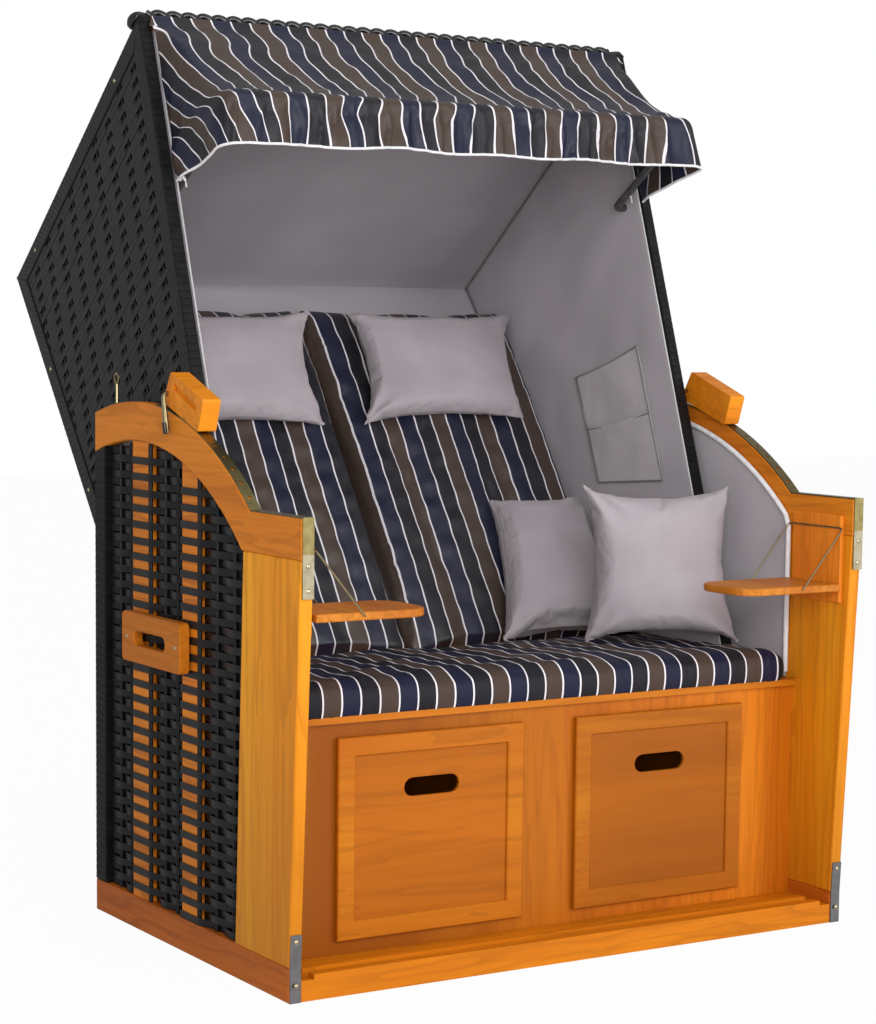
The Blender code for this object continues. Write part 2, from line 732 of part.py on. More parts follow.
def ring_bolt(word, side):
    """A ring on a shaft, with a flange that rests on the arm rail."""
    top = PIVOT_Z + math.sqrt(RAIL_RADIUS**2 - (RING_Y - PIVOT_Y) ** 2) + FIT
    tilt = turn_at(RAIL_RADIUS, RING_Y)
    x = side * (SIDE_OUT - RING_INSET)
    foot = Vector((x, RING_Y, top + RING_FLANGE_RADIUS * abs(math.sin(tilt))))
    flange = foot + Vector((0, 0, RING_FLANGE_THICKNESS))
    wide = RING_FLANGE_RADIUS / RING_SHAFT_RADIUS
    shaft = tube(
        "ring_bolt_" + word,
        [foot, flange, flange, foot + Vector((0, 0, RING_SHAFT_HEIGHT))],
        RING_SHAFT_RADIUS,
        [wide, wide, 1, 1],
    )
    middle = foot + Vector((0, 0, RING_SHAFT_HEIGHT + RING_RADIUS - RING_WIRE / 2))
    turns = [2 * math.pi * k / RING_STEPS for k in range(RING_STEPS)]
    ring = [middle + Vector((0, math.cos(t), math.sin(t))) * RING_RADIUS for t in turns]
    cut(shaft, tube("ring", ring, RING_WIRE, resolution=1, closed=True), "UNION")
    placed(shaft, STEEL, BASE)


def pivot_bolt(word, side):
    """A turned bolt along X: nut inside the hood, collar between hood and base, shaft into the rear slat."""
    nut = HOOD_IN - FIT
    end = nut - BOLT_HEAD_THICKNESS
    collar_low = HOOD_HALF + RUNNING_FIT
    collar_high = SIDE_IN + PANEL_INSET - FIT
    tip = SIDE_MID - SLAT_THICKNESS / 2 + BOLT_BITE
    profile = [
        (tip, 0), (tip, BOLT_RADIUS), (collar_high, BOLT_RADIUS), (collar_high, BOLT_HEAD_RADIUS),
        (collar_low, BOLT_HEAD_RADIUS), (collar_low, BOLT_RADIUS), (nut, BOLT_RADIUS),
        (nut, BOLT_HEAD_RADIUS), (end, BOLT_HEAD_RADIUS), (end, 0),
    ]
    mesh = bpy.data.meshes.new("pivot_bolt_" + word)
    mesh.from_pydata([(r, 0, x) for x, r in profile], [(i, i + 1) for i in range(len(profile) - 1)], [])
    bolt = bpy.data.objects.new("pivot_bolt_" + word, mesh)
    turned = bolt.modifiers.new("Screw", "SCREW")
    turned.axis = "Z"
    turned.steps = CIRCLE_STEPS
    turned.render_steps = CIRCLE_STEPS
    turned.use_merge_vertices = True
    turned.merge_threshold = FIT / 10
    bolt.location = (0, PIVOT_Y, PIVOT_Z)
    bolt.rotation_euler = (0, side * math.pi / 2, 0)
    placed(bolt, STEEL, BASE)


# Floor, treads, drawers' surround and seat
def floor_and_rails():
    """Front rail with a tread, floor board with runners, bearer and a tread, and the rear panel."""
    half = CLEAR_IN
    rail = boxes("front_rail", [((-half, 0, 0), (half, FRONT_RAIL_DEPTH, FLOOR_TOP))])
    low = FLOOR_TOP - FLOOR_THICKNESS
    sunk = FLOOR_TOP - FLOOR_THICKNESS * TREAD_SUNK_SHARE
    treads = []
    for y in TREAD_FRONTS:
        upper = (TREAD_HALF_LENGTH, y + TREAD_WIDTH, FLOOR_TOP + TREAD_THICKNESS)
        treads.append(((-TREAD_HALF_LENGTH, y, sunk), upper))
    cut(rail, boxes("tread", treads[:1]), "UNION")
    placed(rail, PINE, BASE)
    rear_front = DEPTH - REAR_RAIL_DEPTH
    end = rear_front - FIT
    floor = boxes("floor_board", [((-half, FRONT_RAIL_DEPTH + FIT, low), (half, end, FLOOR_TOP))])
    middle = DEPTH / 2
    inner = half - BOARD
    bearer_top = low + FLOOR_THICKNESS * TREAD_SUNK_SHARE
    extras = [((-inner, middle - BOARD, 0), (inner, middle + BOARD, bearer_top)), treads[1]]
    for side in (-1, 1):
        for centre in RUNNER_CENTRES:
            x_low, x_high = both(side, centre - RUNNER_WIDTH / 2, centre + RUNNER_WIDTH / 2)
            extras.append(((x_low, APRON_REAR + FIT, sunk), (x_high, end - BOARD, RUNNER_TOP)))
    cut(floor, boxes("extras", extras), "UNION")
    placed(floor, PINE, BASE)
    wall_rear = rear_front + REAR_PANEL_THICKNESS
    wall = [
        (rear_front, 0), (DEPTH, 0), (DEPTH, SIDE_RAIL_HEIGHT), (wall_rear, SIDE_RAIL_HEIGHT),
        (wall_rear, REAR_PANEL_TOP), (rear_front, REAR_PANEL_TOP),
    ]
    placed(slab("rear_panel", [wall], "X", -half, half, EASE), WEAVE, BASE)


def apron():
    """The front panel with two openings, and the wall that carries the seat board between the drawers."""
    outer = rectangle(-CLEAR_IN, CLEAR_IN, FLOOR_TOP + FIT, APRON_TOP)
    holes = [
        rectangle(*both(side, *APRON_OPENING), APRON_OPENING_LOW, APRON_OPENING_TOP) for side in (-1, 1)
    ]
    panel = slab("apron_panel", [outer] + holes, "Y", APRON_FRONT, APRON_REAR)
    half = DIVIDER_THICKNESS / 2
    middle = (APRON_FRONT + APRON_REAR) / 2
    wall = [((-half, middle, FLOOR_TOP + 2 * FIT), (half, SEAT_BOARD_REAR, APRON_TOP - FIT))]
    cut(panel, boxes("divider", wall), "UNION")
    placed(panel, PINE, BASE)


def seat_board():
    half = SEAT_BOARD_REAR_HALF
    right = [
        (CLEAR_IN, SEAT_BOARD_FRONT), (CLEAR_IN, SEAT_STEP_Y), (half, SEAT_STEP_Y), (half, SEAT_BOARD_REAR),
    ]
    outline = right + [(-x, y) for x, y in right[::-1]]
    placed(slab("seat_board", [outline], "Z", SEAT_BOARD_LOW, SEAT_BOARD_TOP), PINE, BASE)


def seat_cushion():
    """One cushion over the whole seat: a full front part and a narrower rear part between the hood sides."""
    low = SEAT_BOARD_TOP + FIT
    upper = []
    lower = []
    depth = SEAT_REAR - SEAT_FRONT
    for i, share in enumerate(SEAT_ROW_SHARES):
        y = SEAT_FRONT + depth * share
        half = SEAT_HALF if y < SEAT_STEP_Y else SEAT_REAR_HALF
        top = SEAT_TOP + (SEAT_REAR_TOP - SEAT_TOP) * share
        end_row = i in (0, len(SEAT_ROW_SHARES) - 1)
        top_row = []
        low_row = []
        for j, across in enumerate(SEAT_COLUMN_SHARES):
            end = end_row or j in (0, len(SEAT_COLUMN_SHARES) - 1)
            fade = 1 - abs(2 * share - 1) ** SEAT_CROWN_POWER
            crown = SEAT_CROWN * fade * (1 - abs(across) ** SEAT_CROWN_POWER)
            drop = (top - low) * SEAT_EDGE_DROP_SHARE if end else 0
            rise = (top - low) * SEAT_EDGE_RISE_SHARE if end else 0
            top_row.append((half * across, y, top + crown - drop))
            low_row.append((half * across, y, low + rise))
        upper.append(top_row)
        lower.append(low_row)
    placed(pad("seat_cushion", upper, lower), STRIPES, BASE)


# Footrest drawers
def footrest(word, side, carrier):
    """A front frame with a slotted panel let into it, and a box open below that carries a flat cushion."""
    frame_rear = BOX_FRONT - FIT
    frame_front = frame_rear - DRAWER_FRAME_THICKNESS
    left, right = both(side, DRAWER_FRAME_LEFT, DRAWER_FRAME_RIGHT)
    width = DRAWER_FRAME_WIDTH
    outer = rectangle(left, right, DRAWER_FRAME_LOW, DRAWER_FRAME_TOP)
    hole = rectangle(left + width, right - width, DRAWER_FRAME_LOW + width, DRAWER_FRAME_TOP - width)
    frame = slab("footrest_" + word, [outer, hole], "Y", frame_front, frame_rear, EASE)
    width *= GROOVE_SHARE
    field = rectangle(left + width, right - width, DRAWER_FRAME_LOW + width, DRAWER_FRAME_TOP - width)
    middle = (left + right) / 2
    reach = (DRAWER_SLOT_LENGTH - DRAWER_SLOT_HEIGHT) / 2
    slot = stadium((middle - reach, DRAWER_SLOT_Z), (middle + reach, DRAWER_SLOT_Z), DRAWER_SLOT_HEIGHT)
    panel_front = frame_rear - DRAWER_PANEL_THICKNESS
    cut(frame, slab("panel", [field, slot], "Y", panel_front, frame_rear - FIT), "UNION")
    low_x, high_x = both(side, BOX_LEFT, BOX_RIGHT)
    wall = DRAWER_WALL
    shell = [
        (low_x, BOX_LOW), (low_x, DRAWER_BOX_TOP), (high_x, DRAWER_BOX_TOP), (high_x, BOX_LOW),
        (high_x - wall, BOX_LOW), (high_x - wall, DRAWER_BOX_TOP - wall),
        (low_x + wall, DRAWER_BOX_TOP - wall), (low_x + wall, BOX_LOW),
    ]
    box_front = frame_rear - DRAWER_PANEL_THICKNESS / 2
    cut(frame, slab("box", [shell], "Y", box_front, BOX_FRONT + DRAWER_BOX_DEPTH), "UNION")
    placed(frame, PINE, carrier)
    foot_cushion(word, low_x, high_x, carrier)


def foot_cushion(word, low_x, high_x, carrier):
    low = DRAWER_BOX_TOP + FIT
    front = BOX_FRONT + FOOT_PAD_FRONT_GAP
    depth = DRAWER_BOX_DEPTH - FOOT_PAD_FRONT_GAP - FOOT_PAD_INSET
    start = low_x + FOOT_PAD_INSET
    width = high_x - low_x - 2 * FOOT_PAD_INSET
    ends = (0, len(FOOT_PAD_SHARES) - 1)
    upper = []
    lower = []
    for i, v in enumerate(FOOT_PAD_SHARES):
        top_row = []
        low_row = []
        for j, u in enumerate(FOOT_PAD_SHARES):
            end = i in ends or j in ends
            lift = FOOT_PAD_THICKNESS * (FOOT_PAD_EDGE_TOP_SHARE if end else 1)
            base = FOOT_PAD_THICKNESS * (FOOT_PAD_EDGE_LOW_SHARE if end else 0)
            top_row.append((start + width * u, front + depth * v, low + lift))
            low_row.append((start + width * u, front + depth * v, low + base))
        upper.append(top_row)
        lower.append(low_row)
    placed(pad("foot_cushion_" + word, upper, lower), STRIPES, carrier)


# Linings, plates and folding tables
def base_lining(word, side):
    low, high = both(side, LINING_INNER, CLEAR_IN)
    start = math.asin((PIVOT_Y - LINING_FRONT) / LINING_RADIUS)
    arc = arc_run(LINING_RADIUS, start, turn_at(LINING_RADIUS, REAR_POST_FRONT))
    outline = [(REAR_POST_FRONT, LINING_LOW), (LINING_FRONT, LINING_LOW)] + arc
    placed(slab("base_lining_" + word, [outline], "X", low, high, EASE), LINING, BASE)


def table(word, side, shelf_carrier, stay_carrier):
    low, high = both(side, LINING_INNER, CLEAR_IN)
    plate = rectangle(PLATE_FRONT, PLATE_REAR, PLATE_LOW, PLATE_TOP)
    placed(slab("table_plate_" + word, [plate], "X", low, high, EASE), PINE, BASE)
    front = PLATE_FRONT - SHELF_OVERHANG
    rear = PLATE_REAR + SHELF_OVERHANG
    root = side * SHELF_ROOT
    end = side * SHELF_TIP
    outline = [(root, front), (end, front), (end, rear), (root, rear)]
    tip = rounded(outline, SHELF_CORNER, SHELF_CORNER_STEPS)
    board = [p for p in tip if abs(p[0]) < SHELF_ROOT - SHELF_CORNER - FIT] + [outline[3], outline[0]]
    shelf = slab("table_shelf_" + word, [board], "Z", SHELF_TOP - SHELF_THICKNESS, SHELF_TOP, EASE)
    placed(shelf, PINE, shelf_carrier)
    x = LINING_INNER - FIT - STAY_RADIUS
    arm_front = front - FIT - STAY_RADIUS
    arm_rear = rear + FIT + STAY_RADIUS
    path = [
        (side * (x - STAY_REACH), arm_front, STAY_Z - STAY_DROP), (side * x, arm_front, STAY_Z),
        (side * x, arm_rear, STAY_Z), (side * (x - STAY_REACH), arm_rear, STAY_Z - STAY_DROP),
    ]
    stay = tube("table_stay_" + word, bent(path, ROD_BEND, STAY_BEND_STEPS), STAY_RADIUS, resolution=1)
    placed(stay, STEEL, stay_carrier)


# Hood
def along(start, end, distance):
    a = Vector(start)
    b = Vector(end)
    return a + (b - a).normalized() * distance


def inward(start, end):
    """The unit normal of an edge, pointing into the hood."""
    a = Vector(start)
    b = Vector(end)
    way = (b - a).normalized()
    return Vector((way.y, -way.x))


def front_edge_y(z):
    share = (z - HOOD_LOW_FRONT[1]) / (HOOD_TOP_FRONT[1] - HOOD_LOW_FRONT[1])
    return HOOD_LOW_FRONT[0] + (HOOD_TOP_FRONT[0] - HOOD_LOW_FRONT[0]) * share


def rear_edge_y(z):
    share = (z - HOOD_LOW_REAR[1]) / (HOOD_BULGE[1] - HOOD_LOW_REAR[1])
    return HOOD_LOW_REAR[0] + (HOOD_BULGE[0] - HOOD_LOW_REAR[0]) * share


def crossing(a, way_a, b, way_b):
    """Where two lines in a plane meet."""
    spread = way_a.x * way_b.y - way_a.y * way_b.x
    gap = b - a
    return a + way_a * (gap.x * way_b.y - gap.y * way_b.x) / spread


def inset(points, distance):
    """A convex clockwise outline moved inwards on every side."""
    count = len(points)
    made = []
    for i in range(count):
        before = Vector(points[i - 1])
        here = Vector(points[i])
        after = Vector(points[(i + 1) % count])
        first = inward(before, here) * distance
        second = inward(here, after) * distance
        made.append(tuple(crossing(here + first, (here - before), here + second, (after - here))))
    return made


def infill_field():
    low_front = (front_edge_y(HOOD_INFILL_LOW_FRONT_Z), HOOD_INFILL_LOW_FRONT_Z)
    low_rear = (rear_edge_y(HOOD_INFILL_LOW_REAR_Z), HOOD_INFILL_LOW_REAR_Z)
    return [low_front, HOOD_TOP_FRONT, HOOD_BULGE, low_rear]


def hood_side(word, side):
    """A side board whose woven field is sunk a little on both faces, with a rounded lug round the pivot."""
    low, high = both(side, HOOD_IN, HOOD_HALF)
    lug = []
    for k in range(LUG_STEPS + 1):
        turn = math.pi * k / LUG_STEPS
        lug.append((PIVOT_Y + LUG_RADIUS * math.cos(turn), PIVOT_Z - LUG_RADIUS * math.sin(turn)))
    outline = [HOOD_LOW_FRONT, HOOD_TOP_FRONT, HOOD_BULGE, HOOD_LOW_REAR] + lug
    board = slab("hood_side_" + word, [outline], "X", low, high, EASE)
    field = inset(infill_field(), HOOD_MEMBER)
    sunk_out = both(side, HOOD_HALF - HOOD_WEAVE_INSET, HOOD_HALF + LONG_CUT)
    sunk_in = both(side, HOOD_IN - LONG_CUT, HOOD_IN + HOOD_WEAVE_INSET)
    cut(board, slab("field_out", [field], "X", *sunk_out))
    cut(board, slab("field_in", [field], "X", *sunk_in))
    hole = both(side, HOOD_IN - LONG_CUT, SIDE_OUT)
    cut(board, bar("hole", (PIVOT_Y, PIVOT_Z), BOLT_RADIUS + RUNNING_FIT, *hole))
    placed(board, WEAVE, HOOD)


def hood_layer(name, start, end, from_along, to_along, outer, inner, half, look, ease=0.0):
    """A board across the hood, lying under one of its outer planes between two depths."""
    depth = inward(start, end)
    a = along(start, end, from_along)
    b = along(start, end, to_along)
    corners = (a + depth * outer, b + depth * outer, b + depth * inner, a + depth * inner)
    outline = [tuple(p) for p in corners]
    placed(slab(name, [outline], "X", -half, half, ease), look, HOOD)


def hood_shell():
    """Top rail, woven roof, and the woven back in one piece with its ridge and lower rails."""
    roof = (HOOD_TOP_FRONT, HOOD_BULGE)
    back = (HOOD_BULGE, HOOD_LOW_REAR)
    roof_length = (Vector(roof[1]) - Vector(roof[0])).length
    half = HOOD_IN - FIT
    skin = HOOD_SKIN_INSET + HOOD_SKIN
    hood_layer("hood_top_rail", *roof, 0, HOOD_RAIL, 0, BOARD, half, PINE, EASE)
    end = roof_length - HOOD_RIDGE_RAIL - FIT
    hood_layer("hood_roof_weave", *roof, HOOD_RAIL + FIT, end, HOOD_SKIN_INSET, skin, half, WEAVE)
    depth = inward(*roof)
    rise = inward(*back)
    front = along(HOOD_BULGE, HOOD_TOP_FRONT, HOOD_RIDGE_RAIL)
    foot = Vector(HOOD_LOW_REAR)
    upper = along(HOOD_LOW_REAR, HOOD_BULGE, HOOD_RAIL)
    inner = crossing(front + depth * skin, depth.orthogonal(), foot + rise * skin, rise.orthogonal())
    outline = [
        front, Vector(HOOD_BULGE), foot, foot + rise * BOARD, upper + rise * BOARD, upper + rise * skin,
        inner, front + depth * skin,
    ]
    placed(slab("hood_back_weave", [[tuple(p) for p in outline]], "X", -half, half), WEAVE, HOOD)


def lining_depths():
    outer = BOARD + FIT
    return outer, outer + HOOD_PAD


def lining_corner(distance):
    depth = inward(HOOD_TOP_FRONT, HOOD_BULGE) * distance
    rise = inward(HOOD_BULGE, HOOD_LOW_REAR) * distance
    corner = Vector(HOOD_BULGE)
    roof_way = Vector(HOOD_TOP_FRONT) - corner
    back_way = Vector(HOOD_LOW_REAR) - corner
    return crossing(corner + depth, roof_way, corner + rise, back_way)


def hood_linings():
    """The lining of roof and back, folded once along the ridge."""
    outer, inner = lining_depths()
    depth = inward(HOOD_TOP_FRONT, HOOD_BULGE)
    rise = inward(HOOD_BULGE, HOOD_LOW_REAR)
    front = Vector(HOOD_TOP_FRONT)
    foot = Vector(HOOD_LOW_REAR)
    half = HOOD_IN - FIT
    outline = [
        front + depth * outer, lining_corner(outer), foot + rise * outer, foot + rise * inner,
        lining_corner(inner), front + depth * inner,
    ]
    placed(slab("hood_lining", [[tuple(p) for p in outline]], "X", -half, half), LINING, HOOD)


def hood_side_lining(word, side):
    low, high = both(side, HOOD_LINING_IN, HOOD_IN - FIT)
    inner = lining_depths()[1] + FIT
    depth = inward(HOOD_TOP_FRONT, HOOD_BULGE) * inner
    rise = inward(HOOD_BULGE, HOOD_LOW_REAR) * inner
    corner = lining_corner(inner)
    way = Vector(HOOD_TOP_FRONT) - Vector(HOOD_LOW_FRONT)
    roof_way = Vector(HOOD_BULGE) - Vector(HOOD_TOP_FRONT)
    top = crossing(Vector(HOOD_TOP_FRONT) + depth, roof_way, Vector(HOOD_LOW_FRONT), way)
    foot = Vector(HOOD_LOW_REAR) + rise
    low_z = HOOD_LOW_REAR[1]
    outline = [(front_edge_y(low_z), low_z), tuple(top), tuple(corner), tuple(foot)]
    lining = slab("hood_side_lining_" + word, [outline], "X", low, high)
    hole = both(side, HOOD_LINING_IN - LONG_CUT, HOOD_IN + HOOD_BOARD)
    cut(lining, bar("hole", BOW_PIVOT, BOW_RADIUS + RUNNING_FIT, *hole))
    placed(lining, LINING, HOOD)


def side_pocket():
    """Two tiers of cloth against the right lining, the lower one standing a little proud."""
    high = HOOD_LINING_IN - FIT
    thin = POCKET_THICKNESS / 2
    a, b, c, d = [Vector(p) for p in POCKET_CORNER_SPOTS]
    left = a.lerp(d, POCKET_SEAM_SHARE)
    right = b.lerp(c, POCKET_SEAM_SHARE)
    back = [tuple(p) for p in (a, b, c, d)]
    pocket = slab("side_pocket", [rounded(back, HANDLE_CORNER, SMALL_CORNER_STEPS)], "X", high - thin, high)
    front = [tuple(p) for p in (left, right, c.lerp(d, FIT), d.lerp(c, FIT))]
    tier = rounded(front, HANDLE_CORNER, SMALL_CORNER_STEPS)
    cut(pocket, slab("tier", [tier], "X", high - 2 * thin, high - thin / 2), "UNION")
    placed(pocket, LINING, HOOD)


def braid():
    spot = along(HOOD_TOP_FRONT, HOOD_BULGE, BRAID_ALONG)
    spot -= inward(HOOD_TOP_FRONT, HOOD_BULGE) * (BRAID_RADIUS + FIT)
    ends = BRAID_RADIUS * BRAID_END_LENGTH_SHARE
    stops = [-BRAID_HALF, -BRAID_HALF + ends, BRAID_HALF - ends, BRAID_HALF]
    sizes = [BRAID_END_SHARE, 1, 1, BRAID_END_SHARE]
    rope = tube("hood_braid", [(x, *spot) for x in stops], BRAID_RADIUS, sizes)
    placed(rope, ROPE, HOOD)


def back_spot(x, up, out):
    """A point over the back cushions' front plane: across, up along it, and out of it towards the front."""
    sine = math.sin(BACK_LEAN)
    cosine = math.cos(BACK_LEAN)
    y = BACK_LOW_Y + up * sine - out * cosine
    return (x, y, BACK_LOW_Z + up * cosine + out * sine)


def back_depth(up):
    """How far the lining lies behind the back cushions' front plane, square to that plane."""
    rise = inward(HOOD_BULGE, HOOD_LOW_REAR)
    start = Vector(HOOD_LOW_REAR) + rise * (lining_depths()[1] + FIT)
    way = Vector(HOOD_BULGE) - Vector(HOOD_LOW_REAR)
    base = Vector(back_spot(0, up, 0)[1:])
    inwards = Vector((math.cos(BACK_LEAN), -math.sin(BACK_LEAN)))
    return (crossing(base, inwards, start, way) - base).length


def back_cushion(word, side):
    """A wedge cushion with two upright creases, thin at the seat and deep under the roof."""
    width = BACK_HALF - BACK_MIDDLE_GAP
    upper = []
    lower = []
    last_row = len(BACK_ROW_SHARES) - 1
    last_column = len(BACK_COLUMN_SHARES) - 1
    for i, v in enumerate(BACK_ROW_SHARES):
        up = BACK_HEIGHT * v
        full = back_depth(up)
        top_row = []
        low_row = []
        for j, u in enumerate(BACK_COLUMN_SHARES):
            end = i in (0, last_row) or j in (0, last_column)
            x = side * (BACK_MIDDLE_GAP + width * u)
            out = 0
            if j in BACK_CREASES:
                out = -BACK_CREASE
            if end:
                out = -full * BACK_EDGE_FRONT_SHARE
            behind = -full * BACK_EDGE_REAR_SHARE if end else FIT - full
            top_row.append(back_spot(x, up, out))
            low_row.append(back_spot(x, up, behind))
        upper.append(top_row)
        lower.append(low_row)
    placed(pad("back_cushion_" + word, upper, lower), STRIPES, HOOD)


def pillow(name, corners, thickness, look, carrier):
    """A filled cover between four corners: its edges drawn in between the corners, fullest in the middle."""
    low_left, low_right, top_right, top_left = map(Vector, corners)
    normal = (low_right - low_left).cross(top_left - low_left).normalized()
    upper = []
    lower = []
    for v in PILLOW_SHARES:
        top_row = []
        low_row = []
        for u in PILLOW_SHARES:
            across = (1 + u * (1 - PILLOW_PINCH_SHARE * (1 - v * v))) / 2
            up = (1 + v * (1 - PILLOW_PINCH_SHARE * (1 - u * u))) / 2
            spot = low_left.lerp(low_right, across).lerp(top_left.lerp(top_right, across), up)
            full = ((1 - u * u) * (1 - v * v)) ** PILLOW_FULLNESS_POWER
            half = thickness / 2 * (PILLOW_RIM_SHARE + (1 - PILLOW_RIM_SHARE) * full)
            top_row.append(spot + normal * half)
            low_row.append(spot - normal * half)
        upper.append(top_row)
        lower.append(low_row)
    placed(pad(name, upper, lower), look, carrier)


def from_side(spots):
    """Spots whose first number counts inwards from the right side board."""
    return [(SIDE_IN - reach, y, z) for reach, y, z in spots]


def neck_pillow(word, side):
    half = NECK_WIDTH / 2
    centre = side * NECK_CENTRE
    out = NECK_THICKNESS / 2 - NECK_PRESS
    low = NECK_UP - NECK_HEIGHT / 2
    top = NECK_UP + NECK_HEIGHT / 2
    spots = [
        back_spot(centre - half, low, out), back_spot(centre + half, low, out),
        back_spot(centre + half, top, out), back_spot(centre - half, top, out),
    ]
    pillow("neck_pillow_" + word, spots, NECK_THICKNESS, FABRIC, HOOD)


# Locking
def guide_rod(word, side):
    """A bent rod through the lock handle and down the outside of the arm rail, with a cap at its end."""
    low_tip = Vector((ROD_OUT, *above_rail(-ROD_END_BELOW, ROD_END_TURN)))
    bend = Vector((ROD_OUT, *above_rail(ROD_ABOVE, ROD_TURN)))
    path = bent([(HOOD_HALF + FIT, bend.y, bend.z), bend, low_tip], ROD_BEND)
    cap_top = low_tip + (bend - low_tip).normalized() * ROD_CAP
    path = path[:-1] + [cap_top, cap_top, low_tip]
    sizes = [1] * (len(path) - 2) + [ROD_CAP_SHARE] * 2
    rod = tube("guide_rod_" + word, [(side * p.x, p.y, p.z) for p in map(Vector, path)], ROD_RADIUS, sizes)
    placed(rod, STEEL, HOOD)


def lock_handle(word, side, carrier):
    low, high = both(side, LOCK_INNER, SIDE_OUT)
    corners = [above_rail(*place) for place in zip(LOCK_CORNER_ABOVES, LOCK_CORNER_TURNS)]
    outline = rounded(corners, LOCK_CORNER, SMALL_CORNER_STEPS)
    hole = circle(above_rail(ROD_ABOVE, ROD_TURN), ROD_RADIUS + RUNNING_FIT)
    block = slab("lock_handle_" + word, [outline, hole], "X", low, high)
    groove = both(side, SIDE_OUT - LOCK_GROOVE_DEPTH, SIDE_OUT + LONG_CUT)
    ends = [above_rail(*place) for place in zip(LOCK_GROOVE_ABOVES, LOCK_GROOVE_TURNS)]
    channel = stadium(*ends, LOCK_GROOVE_WIDTH, GROOVE_END_STEPS)
    cut(block, slab("groove", [channel], "X", *groove))
    placed(block, PINE, carrier)


# Awning
def awning_bow(carrier):
    pin = HOOD_IN - BOW_PIN_GAP
    path = [
        (-pin, *BOW_PIVOT), (-BOW_HALF, *BOW_PIVOT), (-BOW_HALF, *BOW_RIDGE),
        (BOW_HALF, *BOW_RIDGE), (BOW_HALF, *BOW_PIVOT), (pin, *BOW_PIVOT),
    ]
    corner = BOW_RADIUS * BOW_FOOT_BEND_SHARE
    bends = [corner, BOW_BEND, BOW_BEND, corner]
    made = [Vector(path[0])]
    for before, here, after, radius in zip(path, path[1:], path[2:], bends):
        made += bent([before, here, after], radius)[1:-1]
    made.append(Vector(path[-1]))
    placed(tube("awning_bow", made, BOW_RADIUS), STEEL, carrier)


def awning_cloth():
    """One sheet over the bow, with a hanging hem and a flap down to a tie on each side, then thickened."""
    profile = [Vector(p) for p in CLOTH_TOP_SPOTS + CLOTH_HEM_SPOTS]
    ridge = len(CLOTH_TOP_SPOTS) - 1
    last = len(profile) - 1
    width = CLOTH_COLUMNS + 1
    spots = []
    faces = []
    for i, spot in enumerate(profile):
        for j in range(width):
            across = 2 * j / CLOTH_COLUMNS - 1
            sag = CLOTH_SAG * (1 - across * across) if CLOTH_FLAP_START < i < ridge else 0
            spots.append((CLOTH_HALF * across, spot.x, spot.y - sag))
    for i in range(last):
        for j in range(CLOTH_COLUMNS):
            a = i * width + j
            faces.append((a, a + width, a + width + 1, a + 1))
    tie = Vector(CLOTH_TIE_SPOT)
    for side, column in ((-1, 0), (1, CLOTH_COLUMNS)):
        rim = [i * width + column for i in range(CLOTH_FLAP_START, last + 1)]
        steps = len(rim) - 1
        low = [len(spots) + i for i in range(steps)] + [rim[steps]]
        spots += [(side * CLOTH_HALF, *tie.lerp(profile[last], i / steps)) for i in range(steps)]
        for i in range(steps - 1):
            faces.append((rim[i], rim[i + 1], low[i + 1], low[i]))
        faces.append((rim[steps - 1], rim[steps], low[steps - 1]))
    mesh = bpy.data.meshes.new("awning_cloth")
    mesh.from_pydata(spots, [], faces)
    shape = bmesh.new()
    shape.from_mesh(mesh)
    bmesh.ops.recalc_face_normals(shape, faces=shape.faces)
    shape.to_mesh(mesh)
    shape.free()
    cloth = bpy.data.objects.new("awning_cloth", mesh)
    thick = cloth.modifiers.new("Solidify", "SOLIDIFY")
    thick.thickness = CLOTH_THICKNESS
    thick.offset = 0
    thick.use_even_offset = True
    placed(cloth, STRIPES, HOOD)


clear_scene()
PARTS = new_collection("hooded_beach_chair")
CUTTERS = new_collection("cutters", hidden=True)
GUIDES = new_collection("guides", hidden=True)
PINE = material("pine", (0.75, 0.39, 0.12), 0.4)
WEAVE = material("weave", (0.02, 0.02, 0.022), 0.35)
ROPE = material("rope", (0.015, 0.015, 0.016), 0.25)
STRIPES = material("striped_fabric", (0.09, 0.1, 0.15), 0.8)
FABRIC = material("grey_fabric", (0.5, 0.48, 0.49), 0.9)
LINING = material("lining", (0.42, 0.4, 0.42), 0.9)
BRASS = material("latch_metal", (0.45, 0.4, 0.25), 0.4, 1.0)
STEEL = material("steel", (0.35, 0.35, 0.36), 0.35, 1.0)

FRAME = empty("frame", (0, -DEPTH / 2, 0))
BASE = FRAME
HOOD = empty("hood_axis", (0, PIVOT_Y, PIVOT_Z), FRAME)
AWNING = empty("awning_axis", (0, *[b - p for b, p in zip(BOW_PIVOT, (PIVOT_Y, PIVOT_Z))]), HOOD)

